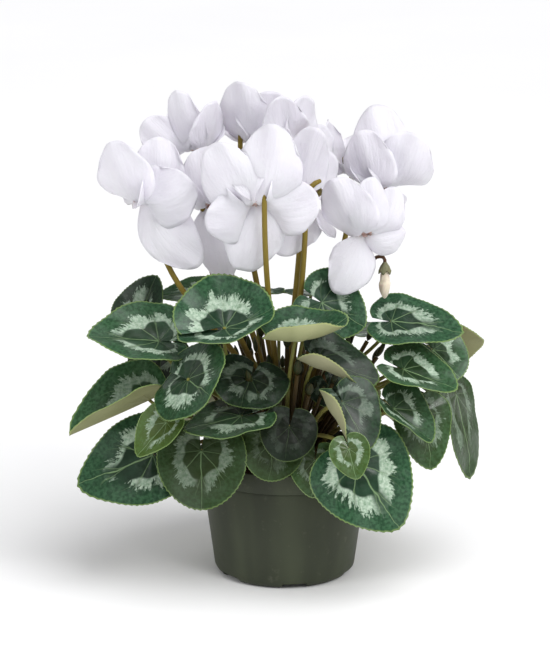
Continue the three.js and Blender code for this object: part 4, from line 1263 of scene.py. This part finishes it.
# %% The flowers' places
FLOWERS = {
    "flower_1": dict(mouth=(-105, -12, 287), axis=(0.25, -0.35, -0.9), beside=(1, 0.3, 0), petals=[
        ((-22, -2, 45), 44), ((12, 12, 46), 38, (0, -1, 0.2)), ((36, -8, 20), 44, (0, -1, 0.1)),
        ((44, -7, -45), 38, (0, -1, 0.1)), ((14, 32, 28), 32)]),
    "flower_2": dict(mouth=(-66, 42, 315), axis=(0.1, -0.25, -0.96), petals=[
        ((-38, -4, 24), 34, (0, -1, 0.3)), ((-14, -4, 46), 28), ((14, -4, 38), 36),
        ((12, 32, 20), 30), ((-14, 30, 28), 34)]),
    "flower_3": dict(mouth=(-54, 10, 279), axis=(0.1, -0.6, -0.75), petals=[
        ((-6, 4, 44), 40, (0, -1, 0.1)), ((10, -8, -54), 32, (0, -1, 0.1)), ((-32, 10, 20), 32),
        ((27, 10, 34), 34), ((34, 14, -12), 30)]),
    "flower_4": dict(mouth=(-21, -42, 291), axis=(0, -0.35, -0.94), beside=(0.75, -0.8, 0), petals=[
        ((11, 6, 58), 46, (-0.2, -1, 0.1)), ((44, -2, 9), 42, (0, -1, 0.1)),
        ((-9, 10, -50), 42, (0, -1, 0.1)), ((-37, -2, -9), 38, (0, -1, 0.1)),
        ((-30, 8, 44), 42, (-0.2, -1, 0.2))]),
    "flower_5": dict(mouth=(-25, 52, 320), axis=(0, -0.3, -0.95), petals=[
        ((-10, -4, 46), 42), ((16, -2, 38), 40, (0, -1, 0.1)), ((30, 14, 16), 32),
        ((6, 36, 26), 36), ((-16, 32, 10), 30)]),
    "flower_6": dict(mouth=(13, 28, 318), axis=(-0.6, 0.25, -0.75), petals=[
        ((-16, -2, 40), 32, (0, -1, 0.1)), ((4, 14, 38), 30), ((-32, 4, 10), 30, (0, -1, 0.1)),
        ((-4, -2, -36), 32), ((20, 24, 10), 30)]),
    "flower_7": dict(mouth=(16, -10, 290), axis=(-0.7, 0.1, -0.7), petals=[
        ((8, -4, 52), 32, (0, -1, 0.1)), ((-18, 2, 40), 32), ((-16, -4, -44), 38, (0, -1, 0.1)),
        ((22, 4, -30), 28), ((20, 22, 28), 30)]),
    "flower_8": dict(mouth=(71, 10, 292), axis=(0.1, -0.35, -0.93), petals=[
        ((-15, -6, 45), 38), ((-4, 18, 60), 44, (0, -1, 0.1)), ((23, -4, 43), 44, (0, -1, 0.1)),
        ((13, 10, -26), 28, (0, -1, 0.1)), ((-22, 26, 28), 34)]),
    "flower_9": dict(mouth=(59, -20, 264), axis=(0.1, -0.5, -0.85), petals=[
        ((-24, -8, 44), 41), ((4, -4, 44), 29), ((22, 10, 34), 26, (0, -1, 0.1)),
        ((-24, -8, -41), 32, (0, -1, 0.1)), ((28, 6, 4), 24, (0, -1, 0.1))]),
    "flower_10": dict(mouth=(51, 64, 294), axis=(0.1, 0.2, -0.97), petals=[
        ((-20, -4, 40), 34), ((14, -4, 44), 34), ((36, 14, 18), 34), ((4, 38, 20), 36),
        ((-32, 16, 14), 34)]),
}
BUD_SHAPE = dict(mouth=(59, -4, 233), arch=(70, -5, 244), neck=(74, -5, 239), length=26,
                 radius=4.8, stem=1.3, steps=70, sides=12)
roots_of([*FLOWERS.values(), BUD_SHAPE], ROOT_RINGS["heart"])
PETAL_SHAPE = dict(thickness=0.45, full=1.1, widest=0.55, neck=0.22, blunt=0.27, bow=0.2, belly=8,
                   rows=26, columns=16)
TUBE = dict(length=10.5, mouth=5.2, back=3.7)
SEPAL = dict(half_width=2.4, length=7.2, thickness=0.5, top=0.9)
SCAPE_SHAPE = dict(root=2.5, neck=1.85, rise=0.4, drop=0.42, hook=8.6, bend=13, steps=60, sides=14)
UP = np.array([0, 0, 1.0])
FIFTH = 2 * math.pi / 5
print("flowers:", len(FLOWERS), "petals:", sum(len(row["petals"]) for row in FLOWERS.values()))


def bezier(points, t):
    """Points and directions along a cubic curve, at several shares t."""
    a, b, c, d = [np.array(point, float) for point in points]
    t = np.asarray(t)[..., None]
    s = 1 - t
    place = s ** 3 * a + 3 * s * s * t * b + 3 * s * t * t * c + t ** 3 * d
    heading = 3 * s * s * (b - a) + 6 * s * t * (c - b) + 3 * t * t * (d - c)
    return place, unit(heading)


def rooted(flower):
    """Roots for the petals, evenly round the mouth, in the order of their tips. Also the way
    out for the scape, between the two tips furthest apart."""
    axis = unit(np.array(flower["axis"], float))
    zero = unit(np.array([1.0, 0, 0]) - axis[0] * axis)
    quarter = np.cross(axis, zero)

    def turn_of(row):
        return math.atan2(quarter.dot(row[0]), zero.dot(row[0]))

    def outwards(turn):
        return zero * math.cos(turn) + quarter * math.sin(turn)

    rows = sorted(flower["petals"], key=turn_of)
    turns = [turn_of(row) for row in rows]
    shift = sum(turn - k * FIFTH for k, turn in enumerate(turns)) / 5
    petals = [dict(zip(("tip", "width", "face"), row), out=outwards(shift + k * FIFTH))
              for k, row in enumerate(rows)]
    gaps = [after - turn for turn, after in zip(turns, [*turns[1:], turns[0] + 2 * math.pi])]
    out = outwards(shift + (gaps.index(max(gaps)) + 0.5) * FIFTH)
    if "beside" in flower:
        out = unit(np.array(flower["beside"]) - axis.dot(flower["beside"]) * axis)
    return axis, petals, out


# %% [markdown]
# ## A petal
# A petal leaves the edge of the tube, turns back on itself and sweeps to its tip. Its middle
# line is one Bezier curve. The width opens from a narrow claw, is widest past the middle and
# closes in a blunt, round end. The cross section bows a little, and the far edge waves.

# %% Petals
def half_width(share, width):
    opening = np.sin(math.pi / 2 * np.minimum(1, share / PETAL_SHAPE["widest"]))
    end = np.maximum(0, (share - PETAL_SHAPE["widest"]) / (1 - PETAL_SHAPE["widest"]))
    body = PETAL_SHAPE["neck"] + (1 - PETAL_SHAPE["neck"]) * opening ** 1.3
    return PETAL_SHAPE["full"] * width / 2 * body * np.sqrt(1 - 0.42 * end ** 3)


def petal(name, row, flower, axis, draw):
    tip, out, wide = np.array(row["tip"], float), row["out"], row["width"]
    out_at_tip = unit(tip - tip.dot(axis) * axis)
    heading = unit(tip)
    inner = out_at_tip * -heading.dot(axis) + axis * heading.dot(out_at_tip)
    root = out * (TUBE["mouth"] - 1) - axis * 1.5
    line = (root, root + axis * 6 + out * 3, tip * 0.5 + inner * PETAL_SHAPE["belly"], tip)
    side_at_root = np.cross(out, axis)
    side_at_tip = np.cross(heading, row["face"]) if "face" in row else np.cross(out_at_tip, axis)
    side_at_tip = side_at_tip * np.sign(side_at_tip.dot(side_at_root))

    along = np.linspace(0, 1, PETAL_SHAPE["rows"] + 1)[:, None]
    v = np.linspace(-1, 1, PETAL_SHAPE["columns"] + 1)[None, :]
    rounded = 1 - np.sqrt(1 - 0.96 * v ** 2)
    share = along * (1 - PETAL_SHAPE["blunt"] * rounded * along ** 2)
    place, tangent = bezier(line, share)
    lean = smooth(share * 1.4)[..., None]
    side = side_at_root * (1 - lean) + side_at_tip * lean
    side = unit(side - (side * tangent).sum(-1, keepdims=True) * tangent)
    chart = np.stack(np.broadcast_arrays((v + 1) / 2, along), axis=-1)

    v, far = v[..., None], along[..., None]
    half = half_width(far, wide)
    bow = -PETAL_SHAPE["bow"] * half * v ** 2
    waves = (0.045 * far * np.sin(2.6 * v + draw.uniform(0, 6))
             + 0.030 * far ** 2 * np.sin(6.5 * v + 3 * far + draw.uniform(0, 6))
             + 0.020 * far * np.abs(v) ** 3 * np.sin(17 * far + draw.uniform(0, 6) + 2 * v)
             + 0.035 * (1 - far) * np.exp(-(v / 0.22) ** 2))
    ruffle = wide * (waves - 0.05 * draw.uniform(-1, 1) * far ** 4)
    points = place + side * half * v + np.cross(side, tangent) * (bow + ruffle)
    return shell(name, points + np.array(flower["mouth"]), PETAL_SHAPE["thickness"], chart,
                 "petal", [PETAL])


# %% [markdown]
# ## Tube, throat and stalk
# The petals are one piece with a short, round tube. Inside it a cone of anthers stands round
# the style, whose end just shows in the mouth. Five sepals clasp the tube from behind. They
# are one sepal, set round the axis by the same tree as the pot's notches. The scape rises
# from the tuber, passes the mouth on the open side and hooks over into the calyx.

# %% Tubes, calyces and scapes
def facing(place, axis):
    """Puts a shape whose back points up at a mouth that looks along the axis."""
    turn = Vector((0, 0, 1)).rotation_difference(Vector(-axis)).to_matrix().to_4x4()
    return Matrix.Translation(Vector(place) * MM) @ turn


def tube(name, flower, axis):
    mouth, back, depth = TUBE["mouth"], TUBE["back"], TUBE["length"]
    where = facing(flower["mouth"], axis)
    cup = [(0, depth - 1.2), (back - 1.2, depth - 1.4), (mouth - 1.0, 3.5), (mouth - 1.1, 0.4),
           (mouth - 0.5, -0.3), (mouth, 0.3), (mouth + 0.5, 3.0), (mouth + 0.1, 6.5),
           (back, depth), (0, depth)]
    cone = [(0, 1.8), (0.5, 2.0), (1.7, 5.0), (1.9, 9.3), (0, 9.3)]
    style = [(0, -1.6), (0.45, -1.3), (0.35, 2.6), (0, 2.6)]
    return [turned(name, cup, 32, THROAT, where),
            turned(name + "_anthers", cone, 15, ANTHERS, where),
            turned(name + "_style", style, 10, THROAT, where)]


def sepal(name):
    """One sepal, standing at the tube's side: a pointed shield, bent to the tube."""
    along, v = np.meshgrid(np.linspace(0, 1, 9), np.linspace(-1, 1, 7), indexing="ij")
    half = SEPAL["half_width"] * np.sqrt(np.clip(1 - along ** 2.2, 0.002, 1))
    height = TUBE["length"] + SEPAL["top"] - SEPAL["length"] * along
    bulge = 1.0 + 0.5 * np.sin(math.pi * along) - 0.12 * (half * v) ** 2 + 0.9 * (1 - along)
    points = np.stack([-1.0 + bulge + 0.35 * along ** 3, half * v, height], axis=-1)
    chart = np.stack([(v + 1) / 2, along], axis=-1)
    return shell(name, points, SEPAL["thickness"], chart, "petal", [CALYX])


def calyx(name, place, axis):
    sepals = RING.grow(name, sepal(name + "_sepal"), Count=5, Radius=TUBE["mouth"] * MM,
                       First_angle=0.3, Material=CALYX)
    depth, back = TUBE["length"], TUBE["back"]
    outline = [(0, depth + 0.2), (back + 0.6, depth + 0.2), (back + 1.1, depth + 0.7),
               (back - 0.4, depth + 1.6), (1.9, depth + 2.4), (0, depth + 2.6)]
    cap = turned(name + "_cap", outline, 20, CALYX)
    for piece in (sepals, cap):
        piece.data.transform(facing(place, axis))
    return [sepals, cap]


def scape(name, flower, axis, out):
    mouth, root, bend = np.array(flower["mouth"], float), flower["root"], SCAPE_SHAPE["bend"]
    neck = mouth - axis * (TUBE["length"] + 0.7)
    beside = mouth + out * SCAPE_SHAPE["hook"]
    span = length(beside - root)
    path = [(root, root, root + UP * SCAPE_SHAPE["rise"] * span),
            (beside - UP * SCAPE_SHAPE["drop"] * span, beside, beside + UP * bend),
            (neck - axis * bend, neck, neck)]
    return stem(name, path, SCAPE_SHAPE["root"], SCAPE_SHAPE["neck"], SCAPE,
                SCAPE_SHAPE["steps"], SCAPE_SHAPE["sides"])


draw = random.Random(11)
for name, flower in FLOWERS.items():
    axis, petals, out = rooted(flower)
    parts = [petal(f"{name}_petal_{k}", row, flower, axis, draw) for k, row in enumerate(petals)]
    finished(joined(name + "_petals_and_tube", *parts, *tube(name + "_tube", flower, axis)),
             "petal", name)
    name = name.replace("flower", "scape")
    stalk = scape(name + "_stem", flower, axis, out)
    parts = calyx(name + "_calyx", flower["mouth"], axis)
    finished(joined(name + "_with_calyx", stalk, *parts), "scape", name)
print("flowers and their stalks made")

# %% [markdown]
# ## The bud
# A cyclamen bud hangs from its arched stalk like a furled umbrella: the petals are rolled
# round each other, so a shallow spiral runs down its side. It is a turned shape whose points
# are pushed in along five twisting ridges.

# %% Bud
RIDGES = 5


def make_bud():
    span, wide = BUD_SHAPE["length"], BUD_SHAPE["radius"]
    outline = [(0, -span)]
    for share in np.linspace(0, 1, 30)[1:-1]:
        radius = wide * math.sin(math.pi * share ** 0.85) ** 0.75
        narrowing = 0.25 + 0.75 * share ** 0.4 if share > 0.5 else 0.93
        outline.append((radius * narrowing, -span + span * share))
    bud = turned("bud_petals", outline + [(0, 0)], 40, BUD)
    for vertex in bud.data.vertices:
        x, y, z = vertex.co / MM
        turn = math.atan2(y, x) - z * 0.09
        pinch = 1 - 0.05 * (1 + math.sin(RIDGES * turn))
        vertex.co.x *= pinch
        vertex.co.y *= pinch
    bud.data.transform(Matrix.Translation((Vector(BUD_SHAPE["neck"]) - Vector((0, 0, 1.3))) * MM))
    return bud


finished(make_bud(), "bud", "bud")


def make_bud_scape():
    low, arch, neck = [np.array(BUD_SHAPE[key], float) for key in ("mouth", "arch", "neck")]
    root = BUD_SHAPE["root"]
    half, along, towards = (low + root) / 2, unit(low - root) * 25, unit(arch - low)
    path = [(root, root, root + UP * 25),
            (half - along, half, half + along),
            (low - towards * 12 - UP * 4, low, low + towards * 7),
            (arch - np.array([5, -1.5, 0.5]), arch, arch + np.array([3.4, -1.5, 0.3])),
            (neck + UP * 4, neck, neck)]
    stalk = stem("bud_scape_stem", path, SCAPE_SHAPE["root"], BUD_SHAPE["stem"], BUD_STEM,
                 BUD_SHAPE["steps"], BUD_SHAPE["sides"])
    outline = [(0, -7.2), (4.3, -8.4), (4.9, -8.0), (4.7, -5.6), (3.4, -2.2), (1.7, 0.2),
               (1.3, 1.2), (0, 1.4)]
    cap = turned("bud_calyx", outline, 30, BUD_CALYX)
    for vertex in cap.data.vertices:
        x, y, z = vertex.co / MM
        if z < -6:
            vertex.co.z += 1.5 * (1 + math.cos(5 * math.atan2(y, x))) * MM
    cap.data.transform(Matrix.Translation(Vector(neck) * MM))
    return joined("bud_scape_with_calyx", stalk, cap)


finished(make_bud_scape(), "scape", "bud_scape")
